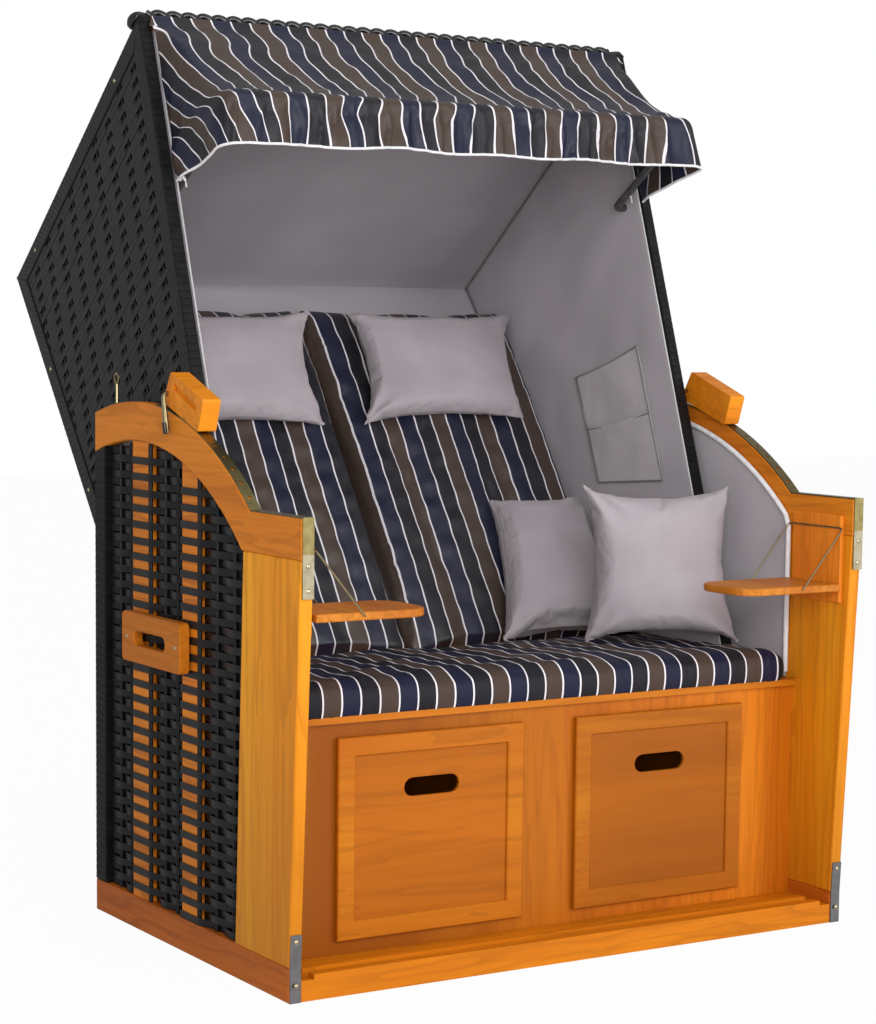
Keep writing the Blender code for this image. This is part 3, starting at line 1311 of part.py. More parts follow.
for word, side in SIDES:
    side_frame(word, side)
    side_weave(word, side)
    carry_handle(word, side)
    latch_strip(word, side)
    corner_strap(word, side)
    ring_bolt(word, side)
    pivot_bolt(word, side)
    base_lining(word, side)
    drawer = empty("footrest_axis_" + word, (side * (BOX_LEFT + BOX_RIGHT) / 2, 0, 0), FRAME)
    footrest(word, side, drawer)
    plate_middle = (PLATE_FRONT + PLATE_REAR) / 2
    shelf_place = (side * TABLE_HINGE_X, plate_middle, SHELF_TOP + RUNNING_FIT)
    stay_place = (side * (LINING_INNER - FIT - STAY_RADIUS), plate_middle, STAY_Z)
    shelf_axis = empty("shelf_axis_" + word, shelf_place, FRAME)
    table(word, side, shelf_axis, empty("stay_axis_" + word, stay_place, FRAME))
    hood_side(word, side)
    hood_side_lining(word, side)
    back_cushion(word, side)
    neck_pillow(word, side)
    guide_rod(word, side)
    rod_y, rod_z = above_rail(ROD_ABOVE, ROD_TURN)
    lock_place = (side * (LOCK_INNER + SIDE_OUT) / 2, rod_y - PIVOT_Y, rod_z - PIVOT_Z)
    lock_handle(word, side, empty("lock_axis_" + word, lock_place, HOOD))
floor_and_rails()
apron()
seat_board()
seat_cushion()
pillow("scatter_pillow_front", from_side(FRONT_PILLOW_SPOTS), PILLOW_THICKNESS, FABRIC, BASE)
pillow("scatter_pillow_rear", from_side(REAR_PILLOW_SPOTS), REAR_PILLOW_THICKNESS, FABRIC, BASE)
hood_shell()
hood_linings()
side_pocket()
braid()
awning_bow(AWNING)
awning_cloth()
bpy.data.collections.remove(GUIDES)
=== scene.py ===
# %% [markdown]
# # A hooded beach chair for two
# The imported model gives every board, rod and cushion its place and its motion. This script dresses it: woven
# strip, varnished pine, striped cloth, padding, piping, screws and rope. Lengths are in metres, Z points up and
# the seat faces -Y. Pieces are worked out with numpy as surfaces over two parameters.

# %% Load the frame
import json
import math

import bmesh
import bpy
import numpy as np
from mathutils import Matrix, Vector

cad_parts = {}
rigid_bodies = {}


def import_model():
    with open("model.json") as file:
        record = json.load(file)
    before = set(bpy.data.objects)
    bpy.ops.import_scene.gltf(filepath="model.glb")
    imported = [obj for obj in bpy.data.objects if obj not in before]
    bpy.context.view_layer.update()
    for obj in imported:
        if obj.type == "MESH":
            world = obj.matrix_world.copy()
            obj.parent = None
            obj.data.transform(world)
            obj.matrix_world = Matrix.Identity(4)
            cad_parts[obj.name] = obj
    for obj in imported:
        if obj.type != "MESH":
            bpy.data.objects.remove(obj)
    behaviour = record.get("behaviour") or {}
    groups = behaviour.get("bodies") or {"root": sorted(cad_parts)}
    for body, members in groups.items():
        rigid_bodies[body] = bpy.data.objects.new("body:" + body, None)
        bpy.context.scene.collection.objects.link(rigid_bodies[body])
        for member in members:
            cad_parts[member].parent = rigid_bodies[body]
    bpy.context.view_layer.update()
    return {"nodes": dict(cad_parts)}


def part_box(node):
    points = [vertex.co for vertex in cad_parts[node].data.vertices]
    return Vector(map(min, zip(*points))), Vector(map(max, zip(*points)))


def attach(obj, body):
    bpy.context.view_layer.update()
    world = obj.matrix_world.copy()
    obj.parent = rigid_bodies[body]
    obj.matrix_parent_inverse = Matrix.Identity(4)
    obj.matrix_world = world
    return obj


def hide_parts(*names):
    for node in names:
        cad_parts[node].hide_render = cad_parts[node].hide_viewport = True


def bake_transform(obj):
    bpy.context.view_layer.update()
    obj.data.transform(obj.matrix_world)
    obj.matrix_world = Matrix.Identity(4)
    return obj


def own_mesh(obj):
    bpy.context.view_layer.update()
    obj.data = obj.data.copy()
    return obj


for thing in list(bpy.data.objects):
    bpy.data.objects.remove(thing, do_unlink=True)
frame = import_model()
NODES = frame["nodes"]
SIDES = (("left", -1), ("right", 1))
SHIFT = -0.3925  # from depths counted from the floor rail's front edge to the frame's own depths
PIVOT = (0.6, 0.3)  # depth and height of the hood's hinge
SHARP = math.radians(50)  # edges sharper than this stay crisp
WHOLE_TURN = 2 * math.pi

# %% [markdown]
# ## Surfaces
# Most pieces are a grid of points: a function of two parameters, worked out as whole arrays. Depths are counted
# from the front edge of the floor rail, as a joiner would measure them, and moved to the frame's own origin at
# the very end. A grid can be closed round one parameter, which makes tubes and strips, and capped at its ends.

# %% Grids to meshes
def sheet_faces(rows, columns, start=0, around=False):
    """Quads between neighbouring rows and columns of a grid whose points are numbered row by row."""
    across = columns if around else columns - 1
    r, c = np.meshgrid(np.arange(rows - 1), np.arange(across), indexing="ij")
    n = (c + 1) % columns
    a, b = r * columns + c, r * columns + n
    return np.stack([a, b, b + columns, a + columns], -1).reshape(-1, 4) + start


def cap_faces(columns, start, turned):
    """The closing face of a tube's end: one face with as many corners as the tube has sides."""
    ring = list(range(start, start + columns))
    return ring[::-1] if turned else ring


def piece(name, parts, look, body, smooth=True, replaces=()):
    """One mesh object out of several grids. Each part is (points, around, uv), with points as rows x columns x 3."""
    spots, quads, caps, uvs = [], [], [], []
    start = 0
    for points, around, uv in parts:
        points = np.asarray(points, float)
        rows, columns = points.shape[:2]
        quads.append(sheet_faces(rows, columns, start, around))
        if around:
            caps.append(cap_faces(columns, start, False))
            caps.append(cap_faces(columns, start + (rows - 1) * columns, True))
        spots.append(points.reshape(-1, 3))
        uvs.append(np.zeros((rows * columns, 2)) if uv is None else uv.reshape(-1, 2))
        start += rows * columns
    spots = np.concatenate(spots) + (0, SHIFT, 0)
    quads = np.concatenate(quads)
    uvs = np.concatenate(uvs)
    mesh = bpy.data.meshes.new(name)
    sizes = [4] * len(quads) + [len(c) for c in caps]
    corners = np.concatenate([quads.reshape(-1)] + [np.array(c) for c in caps]).astype(np.int32)
    mesh.vertices.add(len(spots))
    mesh.vertices.foreach_set("co", spots.astype(np.float32).reshape(-1))
    mesh.loops.add(len(corners))
    mesh.loops.foreach_set("vertex_index", corners)
    mesh.polygons.add(len(sizes))
    starts = np.concatenate([[0], np.cumsum(sizes)[:-1]]).astype(np.int32)
    mesh.polygons.foreach_set("loop_start", starts)
    mesh.update(calc_edges=True)
    layer = mesh.uv_layers.new(name="UVMap")
    layer.data.foreach_set("uv", uvs[corners].astype(np.float32).reshape(-1))
    mesh.validate()
    return settled(bpy.data.objects.new(name, mesh), look, body, smooth, replaces)


def settled(made, look, body, smooth=True, replaces=()):
    """Links a finished object, gives it its look, and hangs it on the CAD body it moves with."""
    if made.name not in bpy.context.scene.collection.objects:
        bpy.context.scene.collection.objects.link(made)
    made.data.materials.clear()
    made.data.materials.append(look)
    made.data.polygons.foreach_set("use_smooth", [smooth] * len(made.data.polygons))
    if smooth:
        made.data.set_sharp_from_angle(angle=SHARP)
    if body:
        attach(made, body)
    if replaces:
        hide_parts(*replaces)
    return made


def tube(path, radius, sides=10, flat=1.0, up=(0, 0, 1)):
    """A ring of points round each point of a path, square to the way the path runs there."""
    path = np.asarray(path, float)
    way = np.gradient(path, axis=0)
    way /= np.linalg.norm(way, axis=1, keepdims=True)
    up = np.broadcast_to(np.asarray(up, float), way.shape)
    side = np.cross(way, up)
    side /= np.maximum(np.linalg.norm(side, axis=1, keepdims=True), 1e-9)
    over = np.cross(side, way)
    turns = np.linspace(0, WHOLE_TURN, sides, endpoint=False)
    radius = np.broadcast_to(np.asarray(radius, float), (len(path),))[:, None, None]
    ring = side[:, None] * np.cos(turns)[:, None] + over[:, None] * np.sin(turns)[:, None] * flat
    return path[:, None] + ring * radius, True, None


def smooth_path(spots, count):
    """Points along a smooth curve through a few spots: each stretch is a cubic with matched slopes."""
    spots = np.asarray(spots, float)
    slopes = np.gradient(spots, axis=0)
    t = np.linspace(0, len(spots) - 1, count)
    i = np.minimum(t.astype(int), len(spots) - 2)
    u = (t - i)[:, None]
    a, b, m, n = spots[i], spots[i + 1], slopes[i], slopes[i + 1]
    return (2*u**3 - 3*u**2 + 1) * a + (u**3 - 2*u**2 + u) * m + (3*u**2 - 2*u**3) * b + (u**3 - u**2) * n


def eased(value, keys, heights):
    """Heights joined by smooth steps: flat at every key, with an S curve between two keys."""
    keys, heights = np.asarray(keys, float), np.asarray(heights, float)
    i = np.clip(np.searchsorted(keys, value, side="right") - 1, 0, len(keys) - 2)
    t = np.clip((value - keys[i]) / (keys[i + 1] - keys[i]), 0, 1)
    return heights[i] + (heights[i + 1] - heights[i]) * t * t * (3 - 2 * t)


def rising(value, start, length):
    """0 up to the start, 1 from the start plus the length on, and a straight rise between."""
    return np.clip((value - start) / length, 0, 1)


def side_spots(x, flat):
    """Points (depth, height) of a side view, set at a distance x from the middle."""
    flat = np.asarray(flat, float)
    return np.concatenate([np.full(flat.shape[:-1] + (1,), float(x)), flat], -1)


def area_of(points):
    """The area of a grid: half the cross product of each square's diagonals, added up."""
    first, second = points[1:, 1:] - points[:-1, :-1], points[1:, :-1] - points[:-1, 1:]
    return float(np.linalg.norm(np.cross(first, second), axis=-1).sum() / 2)


def thickened(made, thickness):
    """Gives a sheet its thickness, half to each side."""
    solid = made.modifiers.new("thickness", "SOLIDIFY")
    solid.thickness, solid.offset = thickness, 0
    return made


def count_faces(*objects):
    """Prints what a cell has made."""
    for made in objects:
        print(made.name, len(made.data.polygons), "faces")


print("helpers ready")

# %% [markdown]
# ## The camera
# The camera stands where the photographer stood. Its place, turn and lens were worked out from the straight
# edges of the chair. A small shift of the lens puts the picture's middle above the point it looks at.

# %% Camera
YAW, PITCH, ROLL = 0.554096176, -0.100574359, 0.0106569396
CAMERA_SPOT = (-2.52212342, -3.56741293 + SHIFT, 1.12528103)
PICTURE_HEIGHT = 1024  # pixels; the lens and its shift were measured in them
LENS_PIXELS, MIDDLE_PIXEL = 2475.5438, 579.068
SENSOR = 36


def photo_camera():
    """Turns the camera by yaw and pitch, then rolls it about the way it looks."""
    yaw, pitch, roll = YAW, PITCH, ROLL
    forward = Vector((math.sin(yaw) * math.cos(pitch), math.cos(yaw) * math.cos(pitch), math.sin(pitch)))
    right = Vector((math.cos(yaw), -math.sin(yaw), 0))
    up = right.cross(forward)
    tilted = right * math.cos(roll) + up * math.sin(roll)
    above = up * math.cos(roll) - right * math.sin(roll)
    data = bpy.data.cameras.new("camera")
    data.sensor_width = SENSOR
    data.lens = LENS_PIXELS * SENSOR / PICTURE_HEIGHT
    data.shift_y = (MIDDLE_PIXEL - PICTURE_HEIGHT / 2) / PICTURE_HEIGHT
    data.clip_start, data.clip_end = 0.1, 100
    made = bpy.data.objects.new("camera", data)
    bpy.context.scene.collection.objects.link(made)
    turn = Matrix((tilted, above, -forward)).transposed()
    made.matrix_world = Matrix.Translation(CAMERA_SPOT) @ turn.to_4x4()
    bpy.context.scene.camera = made
    return data.lens


print("lens", round(photo_camera(), 2), "mm")

# %% [markdown]
# ## Material maths
# A shader is a small calculation. Writing it with node objects is long, so a Value stands for one socket and
# adds a Math node whenever it meets +, -, * or /. A Finish holds one material and makes every other node.

# %% Values and finishes
class Value:
    """One output socket. Sums with numbers or other Values add Math nodes."""

    def __init__(self, finish, socket):
        self.finish, self.socket = finish, socket

    def maths(self, operation, *others):
        return self.finish.node("ShaderNodeMath", {"operation": operation}, dict(enumerate((self, *others))))

    def __add__(self, other): return self.maths("ADD", other)
    def __mul__(self, other): return self.maths("MULTIPLY", other)
    def __sub__(self, other): return self.maths("SUBTRACT", other)
    def __truediv__(self, other): return self.maths("DIVIDE", other)
    def __gt__(self, other): return self.maths("GREATER_THAN", other)
    def __lt__(self, other): return self.maths("LESS_THAN", other)
    def fraction(self): return self.maths("FRACT")
    def floor(self): return self.maths("FLOOR")
    def sine(self): return self.maths("SINE")

    def ramp(self, low, high, start=0.0, end=1.0):
        """Start below low, end above high, and a smooth step between."""
        settings = {"interpolation_type": "SMOOTHSTEP"}
        return self.finish.node("ShaderNodeMapRange", settings, {0: self, 1: low, 2: high, 3: start, 4: end})


class Finish:
    """One material: a Principled shader and the nodes that feed it."""

    def __init__(self, name, **constants):
        self.look = bpy.data.materials.new(name)
        self.look.use_nodes = True
        self.tree = self.look.node_tree
        self.shader = self.tree.nodes["Principled BSDF"]
        self.coordinates = None
        for key, number in constants.items():
            self.shader.inputs[key.replace("_", " ")].default_value = number

    def node(self, kind, settings=None, inputs=None, output=0):
        made = self.tree.nodes.new(kind)
        for key, setting in (settings or {}).items():
            setattr(made, key, setting)
        for key, given in (inputs or {}).items():
            self.feed(made.inputs[key], given)
        return Value(self, made.outputs[output])

    def feed(self, socket, given):
        if isinstance(given, Value):
            self.tree.links.new(given.socket, socket)
        elif isinstance(given, tuple) and len(given) == 3 and socket.type == "RGBA":
            socket.default_value = (*given, 1)
        else:
            socket.default_value = given

    def place(self):
        if self.coordinates is None:
            self.coordinates = self.node("ShaderNodeTexCoord", output="Object")
        return self.coordinates

    def split(self, vector=None):
        made = self.tree.nodes.new("ShaderNodeSeparateXYZ")
        self.feed(made.inputs[0], vector or self.place())
        return [Value(self, out) for out in made.outputs]

    def stretched(self, scale):
        return self.node("ShaderNodeMapping", None, {"Vector": self.place(), "Scale": scale})

    def noise(self, scale, detail=3.0, vector=None, roughness=0.5):
        inputs = {"Vector": vector or self.place(), "Scale": scale, "Detail": detail, "Roughness": roughness}
        return self.node("ShaderNodeTexNoise", None, inputs)

    def mix(self, share, a, b, blend="MIX"):
        made = self.tree.nodes.new("ShaderNodeMix")
        made.data_type, made.blend_type = "RGBA", blend
        for key, given in ((0, share), (6, a), (7, b)):
            self.feed(made.inputs[key], given)
        return Value(self, made.outputs[2])

    def bump(self, height, strength, distance=0.001, normal=None):
        inputs = {"Height": height, "Strength": strength, "Distance": distance}
        if normal:
            inputs["Normal"] = normal
        return self.node("ShaderNodeBump", None, inputs)

    def done(self, **inputs):
        for key, given in inputs.items():
            self.feed(self.shader.inputs[key.replace("_", " ")], given)
        return self.look


print("material maths ready")

# %% [markdown]
# ## Varnished pine
# The boards are honey-coloured pine under a satin glaze. Pine has long streaks along the board, with darker
# late-wood lines and a few knots. Noise that is stretched along the board gives the streaks, and a sawtooth of the
# same noise gives the lines. One function serves every board: it takes the way the grain runs and two colours.

# %% Pine
PINE_ROUGHNESS = 0.38


def pine(name, along, light, dark, lines=0.5, knots=0.0, above=None, fade=None):
    """above gives an axis, a level and the colour beyond it; fade an axis, two places and the painted light at each."""
    f = Finish(name, Specular_IOR_Level=0.14, Coat_Weight=0.03, Coat_Roughness=0.15)
    squeeze = {"X": (0.05, 1, 1), "Y": (1, 0.05, 1), "Z": (1, 1, 0.05)}[along]
    stretched = f.stretched(squeeze)
    bend = f.noise(5.0, 2.0)
    broad = f.noise(9.0, 3.0, stretched)
    fine = f.noise(90.0, 4.0, stretched, 0.6)
    rings = (broad * 11.0 + bend * 1.4).fraction()
    late = rings.ramp(0.55, 0.98) * rings.ramp(0.985, 1.0, 1.0, 0.0)
    tone = f.mix(broad.ramp(0.3, 0.7), light, dark)
    if above:
        axis, level, upper = above
        other = f.mix(broad.ramp(0.3, 0.7), upper, tuple(c * 0.8 for c in upper))
        tone = f.mix(f.split()[axis] > level, tone, other)
    # Painted light and shade: the colour is multiplied by a brightness that ramps along an axis.
    if fade:
        axis, start, end, low, high = fade
        lit = f.mix(f.split()[axis].ramp(start, end), (low,) * 3, (high,) * 3)
        tone = f.mix(1.0, tone, lit, "MULTIPLY")
    streak = tuple(c * 0.62 for c in dark)
    tone = f.mix(late * lines, tone, streak)
    tone = f.mix(fine.ramp(0.42, 0.75) * 0.35, tone, streak)
    if knots:
        cells = f.stretched(tuple(s * 3 + 1.2 for s in squeeze))
        cell = f.node("ShaderNodeTexVoronoi", None, {"Vector": cells, "Scale": 1.6})
        tone = f.mix(cell.ramp(0.02, 0.06, knots, 0.0), tone, tuple(c * 0.25 for c in dark))
    grain = f.bump(fine * 0.6 + late * 0.4, 0.12, 0.0006)
    return f.done(Base_Color=tone, Roughness=fine * 0.2 + PINE_ROUGHNESS, Normal=grain)


# Painted shade and light: the posts are darker towards the floor and lighter higher up.
POST = pine("post_pine", "Z", (0.8, 0.34, 0.014), (0.66, 0.21, 0.006), 0.4, knots=0.5,
            fade=(2, 0.0, 0.7, 0.8, 1.1))
ARM = pine("arm_pine", "Y", (0.72, 0.23, 0.013), (0.57, 0.155, 0.008), 0.35, knots=0.35)
RAIL = pine("rail_pine", "X", (0.7, 0.235, 0.004), (0.56, 0.16, 0.003), 0.4)
SIDE_RAIL = pine("side_rail_pine", "Y", (0.46, 0.115, 0.008), (0.34, 0.072, 0.005), 0.4, knots=0.4,
                 above=(2, 0.061, (0.74, 0.22, 0.012)))
# Painted light and shade: the apron is darker on the left and lighter on the right.
APRON = pine("apron_pine", "Z", (0.5, 0.145, 0.005), (0.42, 0.105, 0.0035), 0.3,
             fade=(0, -0.45, 0.5, 0.62, 1.25))
CARRY = pine("carry_pine", "Y", (0.55, 0.165, 0.007), (0.44, 0.115, 0.005), 0.35)
GRIP = pine("grip_pine", "X", (0.84, 0.28, 0.012), (0.66, 0.19, 0.007), 0.4)
# Painted shade: the drawer fronts darken towards the right.
DRAWER = pine("drawer_pine", "X", (0.53, 0.17, 0.005), (0.44, 0.115, 0.0035), 0.35,
              above=(1, -0.2765, (0.46, 0.122, 0.003)), fade=(0, -0.1, 0.2, 1.0, 0.82))
BOARD = pine("board_pine", "X", (0.62, 0.21, 0.007), (0.5, 0.145, 0.005), 0.35)
SHELF = pine("shelf_pine", "Y", (0.58, 0.2, 0.02), (0.46, 0.13, 0.012), 0.4)
PLATE = pine("plate_pine", "Z", (0.9, 0.28, 0.02), (0.74, 0.2, 0.014), 0.35)
RIDGE = pine("ridge_pine", "X", (0.3, 0.08, 0.006), (0.2, 0.05, 0.004), 0.3)
print("pine finishes", len(bpy.data.materials))

# %% [markdown]
# ## Woven plastic strip, cloth and metal
# The strip is charcoal plastic with a soft gloss and fine grooves along it. Plain cloth is a polyester canvas: a
# fine cross weave as bump, a slight change of tone, and soft broad creases. Striped cloth repeats brown, navy and
# anthracite bands with thin white lines between, so its colour is a staircase of the position across the stripes.

# %% Strip, cloth and metal finishes
def strip_finish(name, tone=(0.006, 0.0056, 0.006), roughness=0.4, gloss=0.2):
    f = Finish(name, Specular_IOR_Level=gloss)
    patches = f.noise(38.0, 3.0)
    colour = f.mix(patches.ramp(0.3, 0.75), tone, tuple(c * 1.9 for c in tone))
    grooves = f.bump(f.noise(420.0, 2.0), 0.1, 0.0004)
    return f.done(Base_Color=colour, Roughness=patches * 0.25 + (roughness - 0.1), Normal=grooves)


THREADS = 6.2832 / 0.0009  # a wave for each thread, 0.9 mm apart


def woven_bump(f, across, up):
    """Threads of a plain weave: two crossed waves, as a bump."""
    height = (across * THREADS).sine() * (up * THREADS).sine() * 0.5 + 0.5
    return f.bump(height, 0.12, 0.0003)


def plain_cloth(name, tone, crease=0.35, scale=9.0, shaded=False):
    """Canvas with soft creases; shaded darkens it above head height, most of all on the left."""
    f = Finish(name, Sheen_Weight=0.12, Sheen_Roughness=0.5, Specular_IOR_Level=0.25)
    folds = f.noise(scale, 3.0, None, 0.45)
    shade = f.mix(folds.ramp(0.25, 0.75), tuple(c * 0.9 for c in tone), tuple(c * 1.06 for c in tone))
    x, y, z = f.split()
    if shaded:
        below = z.ramp(1.19, 1.25, 1.0, 0.0)
        light = (x.ramp(-0.55, 0.15, 0.62, 0.95) * z.ramp(1.19, 1.25) + below) * 0.8 + below * 0.2
        grey = f.node("ShaderNodeCombineXYZ", None, {0: light, 1: light, 2: light})
        shade = f.mix(1.0, shade, grey, "MULTIPLY")
    creases = f.bump(folds, crease, 0.012, woven_bump(f, x + y, z))
    return f.done(Base_Color=shade, Roughness=0.8, Normal=creases)


BROWN, NAVY = (0.058, 0.037, 0.028), (0.009, 0.0105, 0.031)
SLATE, WHITE = (0.0105, 0.0098, 0.0135), (0.72, 0.69, 0.72)


def striped_cloth(name, phase, uv=False, crease=0.3, sheen=0.1, roughness=0.5, pitch=0.0385, gloss=0.42):
    """Bands across x, or across the cloth's own UV; phase shifts them by a share of a band."""
    f = Finish(name, Sheen_Weight=sheen * 0.5, Sheen_Roughness=0.4, Specular_IOR_Level=gloss)
    if uv:
        place = f.node("ShaderNodeTexCoord", output="UV")
        across, up, _ = f.split(place)
    else:
        across, y, up = f.split()
        up = up + y
    wobble = f.noise(7.0, 2.0)
    run = (across + wobble * 0.004) / pitch + phase
    step = run.fraction()
    band = ((run / 3.0).fraction() * 3.0).floor()
    tone = f.mix(band > 0.5, BROWN, NAVY)
    tone = f.mix(band > 1.5, tone, SLATE)
    folds = f.noise(24.0, 4.0, None, 0.55)
    # Painted sheen: where the fold noise is high, the bands are drawn a little towards pale grey.
    tone = f.mix(folds.ramp(0.35, 0.8) * 0.2, tone, f.mix(0.3, tone, (0.09, 0.085, 0.1)))
    line = step.ramp(0.036, 0.05, 1.0, 0.0) + step.ramp(0.95, 0.964)
    tone = f.mix(line, tone, WHITE)
    soft = f.bump(f.noise(11.0, 3.0), crease, 0.012, woven_bump(f, across, up))
    creases = f.bump(folds, 0.3, 0.005, soft)
    return f.done(Base_Color=tone, Roughness=folds * 0.3 + (roughness - 0.12), Normal=creases)


def metal(name, tone, roughness=0.35, wear=0.15, below=None):
    f = Finish(name, Metallic=1.0)
    marks = f.noise(60.0, 4.0)
    if below:
        tone = f.mix(f.split()[2] < below[0], tone, below[1])
    dull = f.mix(1.0, tone, (0.55, 0.52, 0.45), "MULTIPLY")
    colour = f.mix(marks.ramp(0.35, 0.8) * 0.6, tone, dull)
    scratches = f.bump(marks, 0.06, 0.0005)
    return f.done(Base_Color=colour, Roughness=marks * wear + (roughness - wear / 2), Normal=scratches)


STRIP = strip_finish("woven_strip")
# Painted shade: a darker, less glossy copy of the strip, for the solids behind the woven bands, the rear posts' binding
# and the slot above the rear wall.
SHADED_STRIP = strip_finish("shaded_strip", (0.0035, 0.0034, 0.0036), 0.45, 0.12)
ROPE = strip_finish("plaited_rope", (0.006, 0.006, 0.0065), 0.22, 0.5)
LINING = plain_cloth("lining_cloth", (0.45, 0.415, 0.445), 0.35, 4.0)
ROOF_LINING = plain_cloth("roof_lining_cloth", (0.45, 0.415, 0.445), 0.45, 4.0, shaded=True)
PILLOW_CLOTH = plain_cloth("pillow_cloth", (0.385, 0.345, 0.37), 0.6, 9.0)
POCKET = plain_cloth("pocket_cloth", (0.49, 0.455, 0.475), 0.35, 12.0)
POCKET_EDGE = plain_cloth("pocket_edge", (0.19, 0.175, 0.185), 0.2, 30.0)
PIPING = plain_cloth("white_piping", (0.76, 0.75, 0.77), 0.2, 60.0)
GREY_PIPING = plain_cloth("grey_piping", (0.5, 0.49, 0.51), 0.2, 60.0)
BRASS = metal("latch_brass", (0.2, 0.165, 0.07), 0.34, below=(0.757, (0.27, 0.24, 0.165)))
STEEL = metal("steel", (0.5, 0.5, 0.51), 0.28)
DARK_STEEL = metal("dark_steel", (0.2, 0.2, 0.21), 0.4)
SCREW_METAL = metal("screw_metal", (0.5, 0.44, 0.28), 0.3)
ROD_METAL = metal("rod_metal", (0.36, 0.3, 0.17), 0.32, 0.08)
print("finishes", len(bpy.data.materials))

# %% [markdown]
# ## Boards and rods that keep their CAD shape
# Where the solid already is the real shape, it only gets its finish. Nodes that a finer piece stands for further
# on get the same finish as that piece.

# %% Finishes of the CAD nodes
def dress(look, *names):
    """Gives CAD nodes a finish; their shape stays as it is."""
    for name in names:
        mesh = NODES[name].data
        mesh.materials.clear()
        mesh.materials.append(look)


def rounding(width, *names):
    """A soft edge, sanded round."""
    for name in names:
        bevel = NODES[name].modifiers.new("sanded", "BEVEL")
        bevel.width, bevel.segments, bevel.limit_method = width, 3, "ANGLE"
        bevel.angle_limit = SHARP
        NODES[name].data.polygons.foreach_set("use_smooth", [True] * len(NODES[name].data.polygons))


for word, side in SIDES:
    dress(POST, "front_post_" + word)
    dress(ARM, "arm_rail_" + word)
    dress(SIDE_RAIL, "side_rail_" + word)
    # Painted shade: the solids behind the woven sides and the bindings get the darker copy of the strip.
    dress(SHADED_STRIP, "rear_post_" + word, "hood_side_" + word, "side_weave_" + word)
    dress(DRAWER, "footrest_" + word)
    dress(CARRY, "carry_handle_" + word)
    dress(GRIP, "lock_handle_" + word)
    dress(BRASS, "latch_strip_" + word)
    dress(DARK_STEEL, "corner_strap_" + word)
    dress(STEEL, "pivot_bolt_" + word)
    dress(ROD_METAL, "ring_bolt_" + word, "guide_rod_" + word, "table_stay_" + word)
    rounding(0.007, "lock_handle_" + word)
    rounding(0.0025, "carry_handle_" + word, "table_shelf_" + word)
    dress(LINING, "base_lining_" + word, "hood_side_lining_" + word)
    dress(PLATE, "table_plate_" + word)
    dress(SHELF, "table_shelf_" + word)
dress(RAIL, "front_rail", "floor_board")
dress(APRON, "apron_panel")
dress(BOARD, "seat_board")
dress(RIDGE, "hood_top_rail")
# Painted shade: the solids behind the rear, roof and back weaves get the darker copy of the strip.
dress(SHADED_STRIP, "rear_panel", "hood_roof_weave", "hood_back_weave")
dress(LINING, "hood_lining")
dress(POCKET, "side_pocket")
dress(DARK_STEEL, "awning_bow")
print("dressed", sum(len(o.data.materials) for o in NODES.values()))

# %% [markdown]
# ## Woven strip
# A woven panel is a stack of flat strips. Each strip passes in front of one stake and behind the next, and the
# next strip does the opposite. So one strip is a thin band whose depth follows a smooth step between stakes, and
# the panel is that band repeated up the panel with the steps turned round for every second one.

# %% Weaving
def band(origin, along, up, out, runs, height, thickness, depth):
    """A closed flat band: runs are distances along, height its width, depth how far out it lies at each run."""
    corners = np.array([(-1, -1), (1, -1), (1, 1), (-1, 1)]) / 2
    middle = np.asarray(origin, float) + np.outer(runs, along) + np.outer(depth, out)
    across = corners[:, :1] * height * np.asarray(up, float)
    thick = corners[:, 1:] * thickness * np.asarray(out, float)
    return middle[:, None] + (across + thick)[None], True, None


def weave(rows, limits, stakes, pitch, frame_of, spacing, gap=0.0012, thickness=0.0011):
    """Bands for rows of strip, with points at a spacing. limits(row) gives a run's ends, frame_of(row) its origin
    and directions; each stake is its place, half width and reach."""
    made = []
    rng = np.random.default_rng(7)
    for row in range(rows):
        start, end = limits(row)
        if end - start < pitch:
            continue
        keys, heights = [start - 1e-4], [0.0]
        for number, (place, half, reach) in enumerate(stakes):
            if start + half < place < end - half:
                sign = 1 if (number + row) % 2 else -1
                keys += [place - half, place + half + 1e-5]
                heights += [sign * reach, sign * reach]
        keys.append(end + 1e-4)
        heights.append(0.0)
        order = np.argsort(keys)
        count = max(8, int((end - start) / spacing))
        runs = np.linspace(start, end, count)
        depth = eased(runs, np.array(keys)[order], np.array(heights)[order])
        origin, along, up, out = frame_of(row)
        lift = rng.normal(0, 0.0004)
        origin = np.asarray(origin) + lift * np.asarray(up)
        made.append(band(origin, along, up, out, runs, pitch - gap, thickness, depth))
    return made


ROW = 0.01475  # pitch of the strips on the base
LOW_RAIL_TOP, POST_TOP = 0.0603, 0.747
REAR_POST = 0.7375  # front face of the rear post
BELLY = 0.616  # radius of the weave's upper edge about the hinge
WEAVE_X = 0.588
ROUND_STAKE, SLAT = (0.002, 0.0045), (0.033, 0.0088)  # half width and reach
BASE_STAKES = [(place, *(SLAT if place in (0.5875, 0.3835) else ROUND_STAKE))
               for place in (0.693, 0.6455, 0.5875, 0.498, 0.4465, 0.3835, 0.2895, 0.222)]


def under_arm(place):
    """Height of the weave's upper edge at a depth: a circle about the hinge."""
    return PIVOT[1] + math.sqrt(BELLY**2 - (place - PIVOT[0]) ** 2)


def row_height(row):
    """Middle of a row of strip."""
    return LOW_RAIL_TOP + ROW * (row + 0.5)


def base_limits(row):
    """The front post leans, so a row starts further forward with its height; the circle ends the top rows."""
    z = row_height(row)
    top, rear = z + ROW * 0.4, REAR_POST
    front = 0.1968 - 0.026 * (z - 0.06) / (POST_TOP - 0.06)
    if top > PIVOT[1]:
        half = math.sqrt(max(0.0, (BELLY - 0.001) ** 2 - (top - PIVOT[1]) ** 2))
        rear = min(rear, PIVOT[0] + half)
        front = max(front, PIVOT[0] - half) if top > POST_TOP - 0.002 else front
    return front, rear


